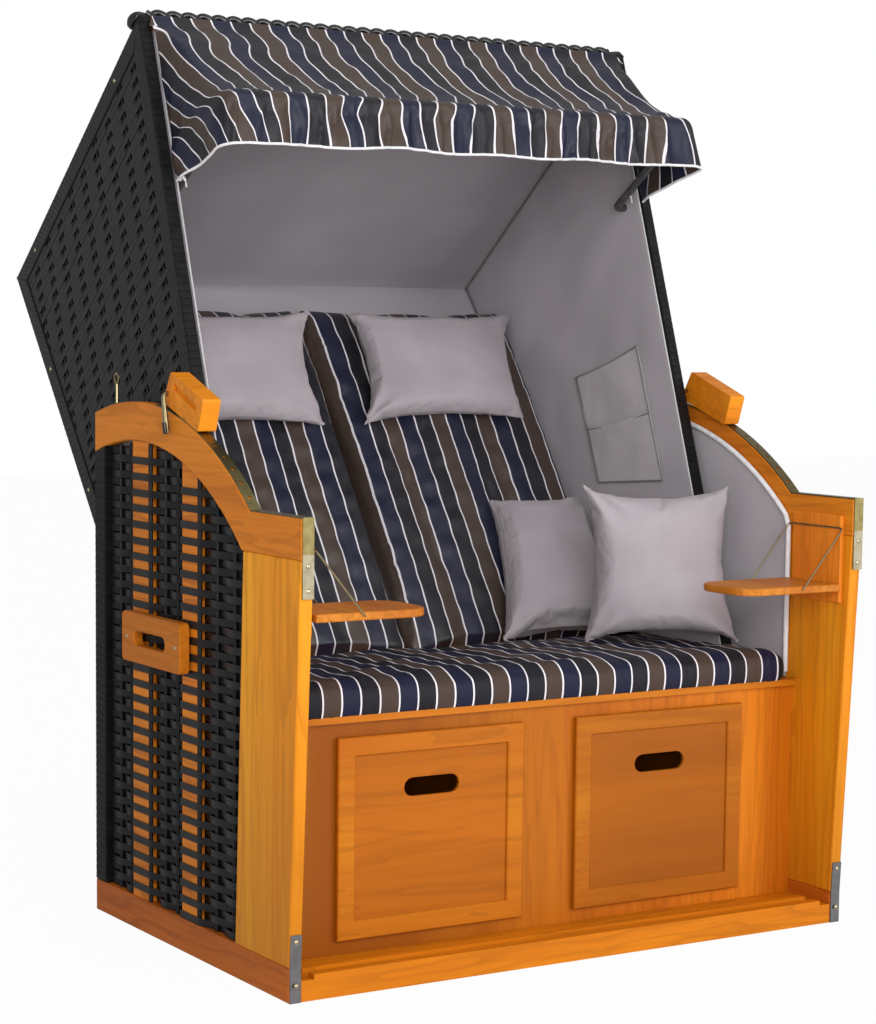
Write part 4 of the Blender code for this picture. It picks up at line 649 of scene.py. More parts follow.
def base_weave(word, side):
    """Rows of strip, a thin dark backing behind each row as painted shade for the inside of the base, round stakes, and
    a rod along an edge of each slat.
    """
    rows = int((PIVOT[1] + BELLY - LOW_RAIL_TOP) / ROW)
    ways = (0, 1, 0), (0, 0, 1), (side, 0, 0)
    frame_of = lambda row: ((side * WEAVE_X, 0, row_height(row)), *ways)
    parts = weave(rows, base_limits, BASE_STAKES, ROW, frame_of, spacing=0.006)
    # Painted shade: the backing closes the gaps between rows, where the dark inside of the base shows.
    for row in range(rows):
        low, high = base_limits(row)
        if high - low > ROW:
            runs = np.linspace(low - 0.004, high, 2)
            parts.append(band((side * 0.5774, 0, row_height(row)), *ways, runs, ROW, 0.0006, runs * 0))
    for place in (0.5532, 0.3502):
        path = side_spots(side * 0.5922, [(place, LOW_RAIL_TOP), (place, under_arm(place) - 0.003)])
        parts.append(tube(path, 0.0044, 8, up=(0, 1, 0)))
    for place, half, _ in BASE_STAKES:
        if half == ROUND_STAKE[0]:
            top = min(under_arm(place) - 0.004, 0.95)
            path = side_spots(side * WEAVE_X, [(place, LOW_RAIL_TOP), (place, top)])
            parts.append(tube(path, 0.0038, 8, up=(0, 1, 0)))
    return piece("base_weave_" + word, parts, STRIP, "base", False, ["side_weave_" + word])


count_faces(*(base_weave(word, side) for word, side in SIDES))

# %% [markdown]
# ## The hood's woven panels
# On the hood the strips run along the slope of the roof, and the stakes follow the front edge. The solid keeps a
# sunk field, and the strips lie in it just clear of its floor. Frame members are wrapped crosswise with the same
# strip: a sleeve round the member whose girth swells a little at each turn of the strip.

# %% Hood panels
LOW_FRONT, TOP_FRONT = np.array((0.2617, 0.44)), np.array((0.69, 1.697))
BULGE, LOW_REAR = np.array((1.289, 1.222)), np.array((0.694, 0.488))
FRONT_WAY = (TOP_FRONT - LOW_FRONT) / np.linalg.norm(TOP_FRONT - LOW_FRONT)
ROOF_WAY = (BULGE - TOP_FRONT) / np.linalg.norm(BULGE - TOP_FRONT)
BACK_WAY = (LOW_REAR - BULGE) / np.linalg.norm(LOW_REAR - BULGE)


def inward(way):
    """A quarter turn, from the way an outline runs to its inside."""
    return np.array([way[1], -way[0]])


def clip_line(point, way, edges):
    """The stretch of a line that lies inside a convex outline, each edge given as a point and an inward normal."""
    low, high = -10.0, 10.0
    for corner, normal in edges:
        slope = float(np.dot(way, normal))
        reach = float(np.dot(np.asarray(corner) - point, normal))
        if abs(slope) < 1e-9:
            if reach > 0:
                return 0.0, 0.0
        elif slope > 0:
            low = max(low, reach / slope)
        else:
            high = min(high, reach / slope)
    return low, high


MEMBER = 0.04  # width of the hood's frame members
HOOD_ROW, HOOD_ROWS = 0.0132, 92
HOOD_STAKE = 0.074  # distance between stakes
LOW_EDGE = (np.array((0.3, 0.598)), np.array((-0.083, 1.0)) / math.hypot(0.083, 1.0))
FIELD = [(corner + inward(way) * (MEMBER - 0.003), inward(way))
         for corner, way in ((LOW_FRONT, FRONT_WAY), (TOP_FRONT, ROOF_WAY), (BULGE, BACK_WAY))] + [LOW_EDGE]


def dipped(runs, first, step, high, low, flat, ease):
    """Depth of a strip that lies high, and dips low for a short way at every step: a smooth notch each time."""
    away = np.abs((runs - first + step / 2) % step - step / 2)
    t = np.clip((away - flat) / ease, 0, 1)
    return low + (high - low) * t * t * (3 - 2 * t)


def hood_side_weave(word, side):
    """Strips lie flat along the slope and duck under a stake at every second column, each row one column on."""
    normal = inward(ROOF_WAY)
    start = TOP_FRONT + normal * MEMBER
    slant = float(np.dot(FRONT_WAY, ROOF_WAY) / np.dot(FRONT_WAY, normal))
    lift = np.random.default_rng(3).normal(0, 0.00035, HOOD_ROWS)
    made = []
    for row in range(HOOD_ROWS):
        point = start + normal * HOOD_ROW * (row + 0.5)
        low, high = clip_line(point, ROOF_WAY, FIELD)
        if high - low < 0.02:
            continue
        runs = np.linspace(low, high, max(6, int((high - low) / 0.003)))
        first = slant * HOOD_ROW * (row + 0.5) + (row % 2) * HOOD_STAKE
        depth = dipped(runs, first, 2 * HOOD_STAKE, high=0.0016, low=-0.0036, flat=0.003, ease=0.013)
        origin = (side * 0.5488, *(point + normal * lift[row]))
        ways = (0, *ROOF_WAY), (0, *-normal), (side, 0, 0)
        made.append(band(origin, *ways, runs, HOOD_ROW - 0.0007, 0.001, depth))
    for number in range(-14, 20):
        foot = start + ROOF_WAY * number * HOOD_STAKE
        low, high = clip_line(foot, FRONT_WAY, FIELD)
        if high - low > 0.03:
            path = np.linspace(foot + FRONT_WAY * low, foot + FRONT_WAY * high, 3)
            made.append(tube(side_spots(side * 0.5478, path), 0.0021, 6, up=(side, 0, 0)))
    return piece("hood_side_weave_" + word, made, STRIP, "hood", False)


count_faces(*(hood_side_weave(word, side) for word, side in SIDES))

# %% [markdown]
# ## Panels with strip running across
# Roof, back and the rear of the base are woven with the strip running from side to side over upright stakes.

# %% Roof, back and rear panels
def cross_weave(name, start, end, half, lift, body, spacing=0.0365, row=HOOD_ROW):
    """Rows of strip across the chair, stacked from one edge of a sloping panel to the other."""
    start, end = np.array(start), np.array(end)
    length = float(np.linalg.norm(end - start))
    way = (end - start) / length
    out = np.array([-way[1], way[0]])
    rows = int(length / row)
    stakes = [(x, 0.002, 0.0013) for x in np.arange(-half + spacing / 2, half, spacing)]
    made = []
    for number in range(rows):
        spot = start + way * row * (number + 0.5) + out * lift
        origin = (0, *spot)
        turned = stakes if number % 2 else [(x + spacing, h, r) for x, h, r in stakes[:-1]]
        frame_of = lambda _, o=origin: (o, (1, 0, 0), (0, *way), (0, *out))
        made += weave(1, lambda _: (-half, half), turned, row, frame_of, 0.009, gap=0.0008, thickness=0.0008)
    return piece(name, made, STRIP, body, False)


def along(start, end, distance):
    """The point at a distance from start on the way to end."""
    start, end = np.array(start), np.array(end)
    return start + (end - start) / np.linalg.norm(end - start) * distance


_, rear_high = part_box("rear_panel")
REAR_TOP, REAR_HALF = rear_high[2] - 0.002, rear_high[0] - 0.002
HOOD_HALF, REAR_Y = 0.5255, 0.7866
count_faces(
    cross_weave("roof_weave", along(BULGE, TOP_FRONT, 0.002), along(TOP_FRONT, BULGE, 0.042), HOOD_HALF,
                -0.0002, "hood"),
    cross_weave("back_weave", along(LOW_REAR, BULGE, 0.002), along(BULGE, LOW_REAR, 0.002), HOOD_HALF,
                0.0018, "hood"),
    cross_weave("rear_weave", (REAR_Y, REAR_TOP), (REAR_Y, 0.075), REAR_HALF, 0.0, "base", 0.045, ROW))

# %% [markdown]
# ## Wrapped frame members
# The hood's frame and the rear posts are bound with the same strip, turn beside turn. A sleeve round the member
# shows this well: its section is full in the middle of each turn and pinched where two turns meet.

# %% Sleeves
TURN = 0.0142  # width of one turn of strip
SLANT = 0.35  # how far a turn leans, in turns
CHAMFER = 0.003


def sleeve(outer_start, outer_end, inner_start, inner_end, low_x, high_x):
    """Rings along a member whose outer and inner edges run between two pairs of mitred corners."""
    corners = [np.array(p, float) for p in (outer_start, outer_end, inner_start, inner_end)]
    length = np.linalg.norm(corners[1] - corners[0])
    turns = max(2, round(length / TURN))
    edge = 0.07
    base = (np.arange(turns)[:, None] + np.array([0, edge, 0.5, 1 - edge])).reshape(-1) / turns
    base = np.append(base, 1.0)
    pinch = np.append(np.tile([0.0011, 0.0001, 0.0, 0.0001], turns), 0.0011)
    rings = []
    way = (corners[1] - corners[0]) / length
    out = corners[0] - corners[2]
    out = out - way * np.dot(out, way)
    out /= np.linalg.norm(out)
    for run, squeeze in zip(base, pinch):
        lean = SLANT / turns * math.sin(math.pi * run)
        near = corners[0] + (corners[1] - corners[0]) * min(1, max(0, run + lean))
        far = corners[2] + (corners[3] - corners[2]) * min(1, max(0, run - lean))
        a, b = near - out * squeeze, far + out * squeeze
        face = high_x - np.sign(high_x) * squeeze
        edge_x = face - np.sign(high_x) * CHAMFER
        rings.append([(low_x, *a), (edge_x, *a), (face, *(a - out * CHAMFER)),
                      (face, *(b + out * CHAMFER)), (edge_x, *b), (low_x, *b)])
    return np.array(rings), True, None


def crossing(a, u, b, v):
    """Where the line through a along u meets the line through b along v."""
    return a + u * (np.cross(b - a, v) / np.cross(u, v))


def hood_line(depth, start):
    """The hood's outline in the side view from a start on its front member, moved inwards by a depth."""
    front, roof, back = (corner + inward(way) * depth for corner, way in
                         ((LOW_FRONT, FRONT_WAY), (TOP_FRONT, ROOF_WAY), (BULGE, BACK_WAY)))
    return [start + inward(FRONT_WAY) * depth, crossing(front, FRONT_WAY, roof, ROOF_WAY),
            crossing(roof, ROOF_WAY, back, BACK_WAY), LOW_REAR + inward(BACK_WAY) * depth]


def hood_sleeves(word, side):
    """Three sleeves that meet at mitred corners, along the front, roof and back members."""
    proud = 0.0008
    start = LOW_FRONT + FRONT_WAY * 0.06
    outer, inner = hood_line(-proud, start), hood_line(MEMBER + proud, start)
    parts = [sleeve(outer[i], outer[i + 1], inner[i], inner[i + 1], side * 0.531, side * (0.552 + proud))
             for i in range(3)]
    return piece("hood_binding_" + word, parts, STRIP, "hood", False)


def post_sleeve(word, side):
    low, rear, front = 0.0615, 0.7858, 0.7372
    top = PIVOT[1] + math.sqrt(0.687**2 - (0.785 - PIVOT[0]) ** 2) - 0.075
    parts = [sleeve((rear, low), (rear, top), (front, low), (front, top), side * 0.577, side * 0.6008)]
    # Painted shade: the rear posts' binding is drawn in the darker copy of the strip.
    return piece("post_binding_" + word, parts, SHADED_STRIP, "base", False)


def rear_strip():
    """A dark strip that closes the slot above the rear wall: it stands for the board there, drawn in the darker copy of
    the strip as painted shade.
    """
    runs = np.linspace(-0.574, 0.574, 3)
    part = band((0, 0.7895, 0.4445), (1, 0, 0), (0, 0, 1), (0, 1, 0), runs, 0.055, 0.002, runs * 0)
    return piece("rear_strip", [part], SHADED_STRIP, "base", False)


rear_strip()
for word, side in SIDES:
    count_faces(hood_sleeves(word, side), post_sleeve(word, side))

# %% [markdown]
# ## Screws
# Small brass screws hold the hood's frame together, and steel rods end in black caps. A screw is a low dome: a
# short profile turned about its own axis.

# %% Screws and caps
def turned_about(centre, way, profile, sides=14):
    """A profile of (distance along, radius) pairs turned about a line."""
    way = np.array(way, float) / np.linalg.norm(way)
    first = np.cross(way, (0.3, 0.2, 0.93))
    first /= np.linalg.norm(first)
    second = np.cross(way, first)
    turns = np.linspace(0, WHOLE_TURN, sides, endpoint=False)[:, None]
    ring = first * np.cos(turns) + second * np.sin(turns)
    return np.array([np.asarray(centre, float) + way * run + ring * radius for run, radius in profile]), True, None


HEAD = [(-0.001, 0.0042), (0.0003, 0.0042), (0.0009, 0.0036), (0.0013, 0.0018), (0.0014, 0.0003)]
ROD_CAP = [(0.0, 0.0006), (0.0004, 0.0036), (0.003, 0.0044), (0.021, 0.0044), (0.0214, 0.003)]
HOOD_SCREWS = ((0.798, 1.586), (1.188, 1.277), (1.112, 1.037), (0.924, 0.804))


def screws(name, spots, way, body):
    heads = [turned_about(spot, way, HEAD) for spot in spots]
    piece(name, heads, SCREW_METAL, body, True)


def side_box(name):
    """Front, rear, lowest and highest of a CAD node."""
    low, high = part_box(name)
    return low[1] - SHIFT, high[1] - SHIFT, low[2], high[2]


for word, side in SIDES:
    screws("hood_screws_" + word, [(side * 0.5526, y, z) for y, z in HOOD_SCREWS], (side, 0, 0), "hood")
    front, _, _, _ = side_box("latch_strip_" + word)
    screws("latch_screws_" + word, [(side * WEAVE_X, front, z) for z in (0.738, 0.697)], (0, -1, 0), "base")
    front, _, low, high = side_box("corner_strap_" + word)
    spots = [(side * WEAVE_X, front, z) for z in (high - 0.012, low + 0.03)]
    screws("strap_screws_" + word, spots, (0, -1, 0), "base")
    front, _, low, _ = side_box("guide_rod_" + word)
    foot = (side * 0.6112, front + 0.0028, low - 0.001)
    piece("rod_cap_" + word, [turned_about(foot, (0, 0.0166, 0.069), ROD_CAP)], ROPE, "hood", True)
    front, rear, _, _ = side_box("carry_handle_" + word)
    spots = [(side * 0.6192, y, 0.555) for y in (front + 0.022, rear - 0.022)]
    screws("carry_screws_" + word, spots, (side, 0, 0), "base")
print("screws placed")

# %% [markdown]
# ## The plaited ridge
# A three-strand plait lies over the roof's front edge. Each strand swings from side to side as a sine of the
# distance and up and down twice as fast, a third of a turn behind the one before.

# %% Plait
REACH = 0.0945  # length of one turn of the plait


def plait():
    """Three strands and, at each end, the loop in which they turn back."""
    x = np.linspace(-0.53, 0.53, 1100)
    out = -inward(ROOF_WAY)
    y, z = along(TOP_FRONT, BULGE, 0.02) + out * 0.013
    parts = []
    for strand in range(3):
        turn = x * WHOLE_TURN / REACH + WHOLE_TURN * strand / 3
        swing, rise = 0.0115 * np.sin(turn), 0.006 * np.sin(2 * turn)
        path = [x, y + swing * ROOF_WAY[0] + rise * out[0], z + swing * ROOF_WAY[1] + rise * out[1]]
        parts.append(tube(np.stack(path, -1), 0.0086, 10, 0.8, (0, *out)))
    turns = ((-0.526, -0.006, 0), (-0.548, -0.01, 0.002), (-0.553, 0.002, -0.004), (-0.546, 0.014, -0.012),
             (-0.526, 0.008, -0.006))
    loop = smooth_path([(across, y + dy, z + dz) for across, dy, dz in turns], 40)
    parts += [tube(loop * (turned, 1, 1), 0.0088, 10, 1.0, (0, *out)) for turned in (1, -1)]
    return piece("ridge_plait", parts, ROPE, "hood", True, ["hood_braid"])


count_faces(plait())

# %% [markdown]
# ## The awning
# One sheet of striped cloth is nailed under the roof's front edge, runs down over the bow, turns there into a
# short valance, and closes the gap to the hood with a gusset at each end. It is a grid: one parameter follows the
# slope from the nails to the hem, the other runs across, gusset, main width and gusset. Small waves across it are
# the puckers of the seams.

# %% Awning sheet
CLOTH_HALF = 0.513
CLOTH_WIDTH = 2 * CLOTH_HALF
SLOPE = np.array([(0.6886, 1.6985), (0.6737, 1.6793), (0.62, 1.648), (0.53, 1.584), (0.45, 1.553), (0.408, 1.543),
                  (0.399, 1.51), (0.392, 1.452)])
TIE = np.array((0.578, 1.391))  # where the gusset's lower end is tied
THICKNESS = 0.0012


def waves(a, b, seed, lengths, count=7):
    """A sum of sines in mixed directions: smooth unevenness over two coordinates, the same in every run."""
    rng = np.random.default_rng(seed)
    total = np.zeros_like(np.asarray(a, float))
    for _ in range(count):
        length = rng.uniform(*lengths)
        turn = rng.uniform(0, WHOLE_TURN)
        total = total + np.sin((a * np.cos(turn) + b * np.sin(turn)) * WHOLE_TURN / length + rng.uniform(0, WHOLE_TURN))
    return total / math.sqrt(count)


def humps(value, spacing, seed):
    """Folds at uneven distances: a sine whose phase drifts slowly."""
    drift = waves(value, value * 0, seed, (0.2, 0.6), 4)
    return np.sin(value * WHOLE_TURN / spacing + 1.6 * drift)


AWNING_LINE = smooth_path(SLOPE, 96)
AWNING_RUN = np.concatenate([[0], np.cumsum(np.linalg.norm(np.diff(AWNING_LINE, axis=0), axis=1))])
RIDGE_RUN = float(AWNING_RUN[np.argmin(np.linalg.norm(AWNING_LINE - (0.408, 1.543), axis=1))])
NAILED_RUN = 0.03


def awning_spots(c, v):
    """A spot at c across, counted from the left corner line and negative on the gusset, and v down the slope."""
    on_line = lambda run: np.stack([np.interp(run, AWNING_RUN, AWNING_LINE[:, axis]) for axis in (0, 1)], -1)
    rim, start = on_line(v), on_line(NAILED_RUN)
    share = np.clip((v - NAILED_RUN) / (AWNING_RUN[-1] - NAILED_RUN), 0, 1)[..., None]
    low = start + (TIE - start) * share
    way = low - rim
    length = np.linalg.norm(way, axis=-1, keepdims=True)
    way = way / np.maximum(length, 1e-6)
    over = np.maximum(np.maximum(-c, c - CLOTH_WIDTH), 0)[..., None]
    flat = rim + way * over * np.clip(length / 0.002, 0, 1)
    x = np.clip(c, 0, CLOTH_WIDTH) - CLOTH_HALF
    return np.concatenate([x[..., None], flat], -1), length[..., 0]


def awning_grid():
    """The sheet's points: the corner line is softened by averaging over a few places across it, then ripples,
    puckers at ridge and seam, the valance's folds, the sag, the flare of the hem and its waves are added."""
    v = AWNING_RUN[:, None]
    _, reach = awning_spots(np.zeros_like(v), v)
    gusset = np.linspace(1, 0, 34)[None, :-1]
    main = np.linspace(0, CLOTH_WIDTH, 330)[None]
    c = np.concatenate([-reach * gusset, np.broadcast_to(main, (len(v), main.shape[1])),
                        CLOTH_WIDTH + reach * gusset[:, ::-1]], 1)
    v = np.broadcast_to(v, c.shape)
    left = c < CLOTH_HALF
    soft = np.where(left, 0.04, 0.02) * rising(v, 0.06, 0.16)
    soft = np.minimum(soft, np.maximum(0.003, np.broadcast_to(reach, c.shape) * 0.5))
    offsets = np.linspace(-1, 1, 11)
    points = sum(awning_spots(c + o * soft * np.clip((c + reach) / soft.clip(1e-4), 0, 1)
                              * np.clip((CLOTH_WIDTH + reach - c) / soft.clip(1e-4), 0, 1), v)[0]
                 for o in offsets) / len(offsets)
    inner = np.clip(np.minimum(c + 0.02, CLOTH_WIDTH + 0.02 - c) / 0.05, 0, 1)
    slope = rising(v, 0.04, 0.03) * np.clip((RIDGE_RUN - 0.012 - v) / 0.03, 0, 1)
    valance = np.clip((v - RIDGE_RUN - 0.004) / 0.03, 0, 1)
    at_ridge = np.exp(-((v - RIDGE_RUN) / 0.012) ** 2)
    at_seam = np.exp(-((v - 0.033) / 0.008) ** 2)
    side_fold = np.clip(-c / 0.03, 0, 1) + np.clip((c - CLOTH_WIDTH) / 0.03, 0, 1)
    lift = 0.0024 * np.sin(c * WHOLE_TURN / 0.13 + 15 * v + 1.5 * waves(c, v, 3, (0.3, 0.6))) * slope * inner
    lift = lift + 0.0011 * waves(c, v, 8, (0.03, 0.08)) * slope * inner
    lift = lift + 0.0013 * humps(c, 0.014, 6) * (at_ridge + 0.7 * at_seam) * inner
    push = 0.0075 * humps(c, 0.07, 5) * valance + 0.0035 * waves(c, v * 0.4, 11, (0.03, 0.06)) * valance
    points[..., 0] *= 1 + 0.024 * np.clip((0.045 - v) / 0.045, 0, 1) ** 0.7
    points[..., 2] += lift - 0.004 * (1 - (c / CLOTH_HALF - 1) ** 2).clip(0) * slope
    points[..., 1] += np.abs(push) * inner
    gone = np.clip(np.maximum(-c, c - CLOTH_WIDTH) / np.maximum(np.broadcast_to(reach, c.shape), 1e-3), 0, 1)
    points[..., 0] += np.where(left, -1, 1) * 0.0145 * gone
    fall = np.clip((v - RIDGE_RUN + 0.03) / (AWNING_RUN[-1] - RIDGE_RUN + 0.03), 0, 1)
    flare = np.exp(-(np.minimum(np.abs(c), np.abs(CLOTH_WIDTH - c)) / 0.07) ** 2) * fall
    points[..., 0] += np.where(left, -0.012, 0.03) * flare
    rumple = waves(points[..., 1], points[..., 2], 15, (0.05, 0.14))
    points[..., 0] += side_fold * 0.003 * rumple * rising(v, 0.08, 0.1)
    hem = np.clip((v - AWNING_RUN[-1] + 0.04) / 0.04, 0, 1) * inner
    points[..., 2] += 0.0035 * waves(c, c * 0, 9, (0.12, 0.3)) * hem
    return points, c, v, reach


def awning():
    """The grid above. Its cloth coordinates are the distances across and down, drawn aslant by the folds."""
    points, c, v, reach = awning_grid()
    sway = rising(v, 0.045, 0.05) * rising(RIDGE_RUN, v, 0.04)
    bend = 0.0105 * np.sin((v - 0.06) * WHOLE_TURN / 0.21 + 0.9 * waves(c, v * 0.3, 12, (0.3, 0.7))) * sway
    bend = bend + 0.0022 * waves(c * 0.5, v, 14, (0.05, 0.12)) * sway
    low = rising(v, RIDGE_RUN, 0.03)
    lean = (v - RIDGE_RUN + 0.02).clip(0) * (1 - np.clip((c + 0.02) / 0.16, 0, 1) ** 1.5)
    bend = bend + 0.0085 * waves(c, v * 1.3, 13, (0.14, 0.26)) * low
    bend = bend * np.clip(1 + np.minimum(c, CLOTH_WIDTH - c) / 0.04, 0.15, 1)
    parts = [(points, False, np.stack([c + bend - 0.85 * lean, v], -1))]
    made = piece("awning_sheet", parts, AWNING_CLOTH, None, True, ["awning_cloth"])
    shape = bmesh.new()
    shape.from_mesh(made.data)
    bmesh.ops.remove_doubles(shape, verts=shape.verts, dist=0.0001)
    bmesh.ops.recalc_face_normals(shape, faces=shape.faces)
    shape.to_mesh(made.data)
    shape.free()
    thickened(made, THICKNESS)
    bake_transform(made)
    whole, flat = area_of(points), (CLOTH_WIDTH + 0.5, float(AWNING_RUN[-1]))
    return made, points


AWNING_CLOTH = striped_cloth("awning_cloth", 1.0, True, 0.25, pitch=0.04, roughness=0.42, sheen=0.0, gloss=0.3)
awning_made, awning_points = awning()
count_faces(awning_made)

# %% [markdown]
# ## Piping and ties
# White piping finishes the hem of the awning and the edges of the linings. It is a thin tube along the edge. Short
# tapes tie the two lower ends of the awning to the bow.

# %% Piping
def piping(name, path, radius, body, look=PIPING):
    return piece(name, [tube(path, radius, 8, up=(0.3, 0.9, 0.3))], look, body, True)


def tie(name, x, y, z):
    """A small knot with two loose ends."""
    turn = np.linspace(0, WHOLE_TURN, 26)
    knot = np.stack([x + 0.0045 * np.cos(turn), y + 0.005 * np.sin(turn), z + 0.003 * np.sin(2 * turn)], -1)
    parts = [tube(knot, 0.0024, 8, up=(0.2, 0.1, 1))]
    for dx, dz in ((-0.010, -0.004), (0.006, -0.016)):
        end = smooth_path([(x, y, z), (x + dx * 0.6, y - 0.004, z + dz * 0.3), (x + dx, y - 0.004, z + dz)], 10)
        parts.append(tube(end, 0.0018, 8, 0.6, up=(0.2, 0.1, 1)))
    return piece(name, parts, PIPING, "hood", True)


hem = awning_points[-1]
hem_piping = piping("awning_piping", hem + (0, -0.0006, -0.001), 0.0026, None)
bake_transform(hem_piping)
tie("awning_tie_left", -CLOTH_HALF - 0.002, TIE[0] + 0.002, TIE[1] + 0.004)
tie("awning_tie_right", CLOTH_HALF - 0.008, TIE[0] + 0.02, TIE[1] + 0.012)
print("hem", round(float(np.linalg.norm(np.diff(hem, axis=0), axis=1).sum()), 3), "m")

# %% [markdown]
# ## Linings
# Grey canvas covers the inside of the hood and of the base sides. It is stretched over the boards, so it is a
# grid with a few shallow creases: each point is pushed towards the seat by a sum of sines.

# %% Hood and base linings
def stretched_sheet(name, points, body, replaced, inner, look, flat, crease, seed):
    """A cloth over a board: the grid points, pushed inwards by creases that fade out at its edges."""
    area = min(area_of(points), flat[0] * flat[1])
    push = np.abs(waves(points[..., 1] + points[..., 0] * 0.3, points[..., 2], seed, (0.12, 0.5))) ** 1.5 * crease
    row, column = np.indices(push.shape)
    rows, columns = push.shape
    rim = np.minimum(np.minimum(row, rows - 1 - row), np.minimum(column, columns - 1 - column)) / 9.0
    points = points + np.asarray(inner) * (push * np.clip(rim, 0, 1))[..., None]
    made = thickened(piece(name, [(points, False, None)], look, body, True, [replaced]), 0.0015)


def hood_inside():
    """Roof and back lining: a line in the side view, drawn out across the hood."""
    depth, half, roof_rows = 0.028, 0.5272, 60
    roof, bulge = TOP_FRONT + inward(ROOF_WAY) * depth, BULGE + inward(ROOF_WAY) * depth
    corner = crossing(bulge, ROOF_WAY, BULGE + inward(BACK_WAY) * depth, BACK_WAY)
    foot = LOW_REAR + inward(BACK_WAY) * depth
    line = np.concatenate([np.linspace(roof, corner, roof_rows), np.linspace(corner, foot, 70)[1:]])
    points = np.stack([side_spots(x, line) for x in np.linspace(-half, half, 90)], 1)
    ways = np.where(np.arange(len(line))[:, None] < roof_rows, inward(ROOF_WAY), inward(BACK_WAY))
    stretched_sheet("hood_inside_cloth", points, "hood", "hood_lining", side_spots(0, ways)[:, None], ROOF_LINING,
                    (1.06, 1.65), 0.003, 21)


def quad_grid(corners, rows, columns):
    """Points between four corners, in order round the outline."""
    a, b, c, d = [np.array(p, float) for p in corners]
    u, v = np.meshgrid(np.linspace(0, 1, columns), np.linspace(0, 1, rows))
    u, v = u[..., None], v[..., None]
    return (a * (1 - u) + b * u) * (1 - v) + (d * (1 - u) + c * u) * v


def hood_side_inside(word, side):
    """A four-cornered sheet on the inside of the hood's side."""
    depth, low_z = 0.0305, 0.488
    low_front = LOW_FRONT + FRONT_WAY * (low_z - LOW_FRONT[1]) / FRONT_WAY[1]
    roof, bulge = TOP_FRONT + inward(ROOF_WAY) * depth, BULGE + inward(ROOF_WAY) * depth
    corner = crossing(bulge, ROOF_WAY, BULGE + inward(BACK_WAY) * depth, BACK_WAY)
    top = crossing(LOW_FRONT, FRONT_WAY, roof, ROOF_WAY)
    foot = LOW_REAR + inward(BACK_WAY) * depth
    points = side_spots(side * 0.5235, quad_grid([low_front, foot, corner, top], 110, 60))
    stretched_sheet("hood_side_cloth_" + word, points, "hood", "hood_side_lining_" + word, (-side, 0, 0), LINING,
                    (0.72, 1.33), 0.0022, 31 + side)


ARC = 0.655  # radius of the base lining's upper edge about the hinge
LINING_FRONT, LINING_REAR = 0.14, 0.7377


def base_inside(word, side):
    """The lining of a base side: rows that end at the front post or at the arm's arc."""
    z = np.linspace(0.46, 0.93, 70)[:, None]
    arc = PIVOT[0] - np.sqrt(np.maximum(0, ARC**2 - (z - PIVOT[1]) ** 2))
    low = np.where(z > PIVOT[1], np.maximum(LINING_FRONT, arc), LINING_FRONT)
    y = low + (LINING_REAR - low) * np.linspace(0, 1, 60)[None]
    points = side_spots(side * 0.5705, np.stack([y, np.broadcast_to(z, y.shape)], -1))
    stretched_sheet("base_side_cloth_" + word, points, "base", "base_lining_" + word, (-side, 0, 0), LINING,
                    (0.6, 0.47), 0.0015, 41 + side)


POCKET_X = 0.5195


def pocket():
    """Two tiers of canvas on the right lining: a flat back piece and a front piece with a seam round it."""
    top_left, top_right = np.array((0.795, 1.025)), np.array((0.577, 1.095))
    low_left, low_right = np.array((0.703, 0.807)), np.array((0.479, 0.824))
    seam_left, seam_right = top_left + (low_left - top_left) * 0.5, top_right + (low_right - top_right) * 0.5
    overlap = (0, 0.006)
    parts = []
    for corners, stand in (([top_left, top_right, seam_right, seam_left], 0.0),
                           ([seam_left + overlap, seam_right + overlap, low_right, low_left], 0.0016)):
        flat = quad_grid(corners, 44, 50)
        sag = np.sin(np.linspace(0, np.pi, 50))[None] * np.linspace(1, 0, 44)[:, None] ** 1.5
        belly = sag * 0.004 + 0.0007 * waves(flat[..., 0], flat[..., 1], 77, (0.04, 0.12)) * sag.clip(0.2)
        x = POCKET_X - stand - np.abs(belly)
        parts.append((np.concatenate([x[..., None], flat - overlap * sag[..., None]], -1), False, None))
    made = thickened(piece("pocket_cloth", parts, POCKET, "hood", True, ["side_pocket"]), THICKNESS)
    slack = ((top_left, top_right), (seam_left, seam_right))
    edges = [smooth_path([a, (a + b) / 2 - overlap, b], 30) for a, b in slack]
    edges += [np.linspace(a, b, 20) for a, b in ((top_left, low_left), (top_right, low_right), (low_left, low_right))]
    rims = [tube(side_spots(POCKET_X - 0.0035, edge), 0.0013, 6, up=(1, 0, 0)) for edge in edges]
    rim = piece("pocket_binding", rims, POCKET_EDGE, "hood", True)


hood_inside()
pocket()
for word, side in SIDES:
    hood_side_inside(word, side)
    base_inside(word, side)
    front = np.linspace(LOW_FRONT + FRONT_WAY * 0.06, TOP_FRONT - FRONT_WAY * 0.03, 30) + (0.001, 0)
    piping("hood_piping_" + word, side_spots(side * 0.5232, front), 0.0019, "hood", GREY_PIPING)
    turns = np.linspace(math.asin((PIVOT[0] - 0.149) / ARC), -0.2, 50)
    arc = np.stack([PIVOT[0] - ARC * np.sin(turns), PIVOT[1] + ARC * np.cos(turns)], -1)
    edge = np.concatenate([np.linspace((LINING_FRONT, 0.47), (LINING_FRONT, 0.755), 12), arc])
    piping("base_piping_" + word, side_spots(side * 0.5685, edge), 0.0052, "base")
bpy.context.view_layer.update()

# %% [markdown]
# ## Cushions and pillows
# Padding pushes outwards and the cover holds it back. A cover is remeshed to even small squares, made a little
# too large, and blown up for a few frames as cloth with inner pressure. That gives the soft corners and the small
# wrinkles of a filled case. No point may move further than a set distance, so the cushion keeps its place.

# %% Padding
FRAMES = 16  # steps of the simulation


def baked(made):
    """Replaces an object's mesh by what its modifiers make of it, and takes the modifiers away."""
    graph = bpy.context.evaluated_depsgraph_get()
    fresh = bpy.data.meshes.new_from_object(made.evaluated_get(graph))
    made.modifiers.clear()
    made.data = fresh


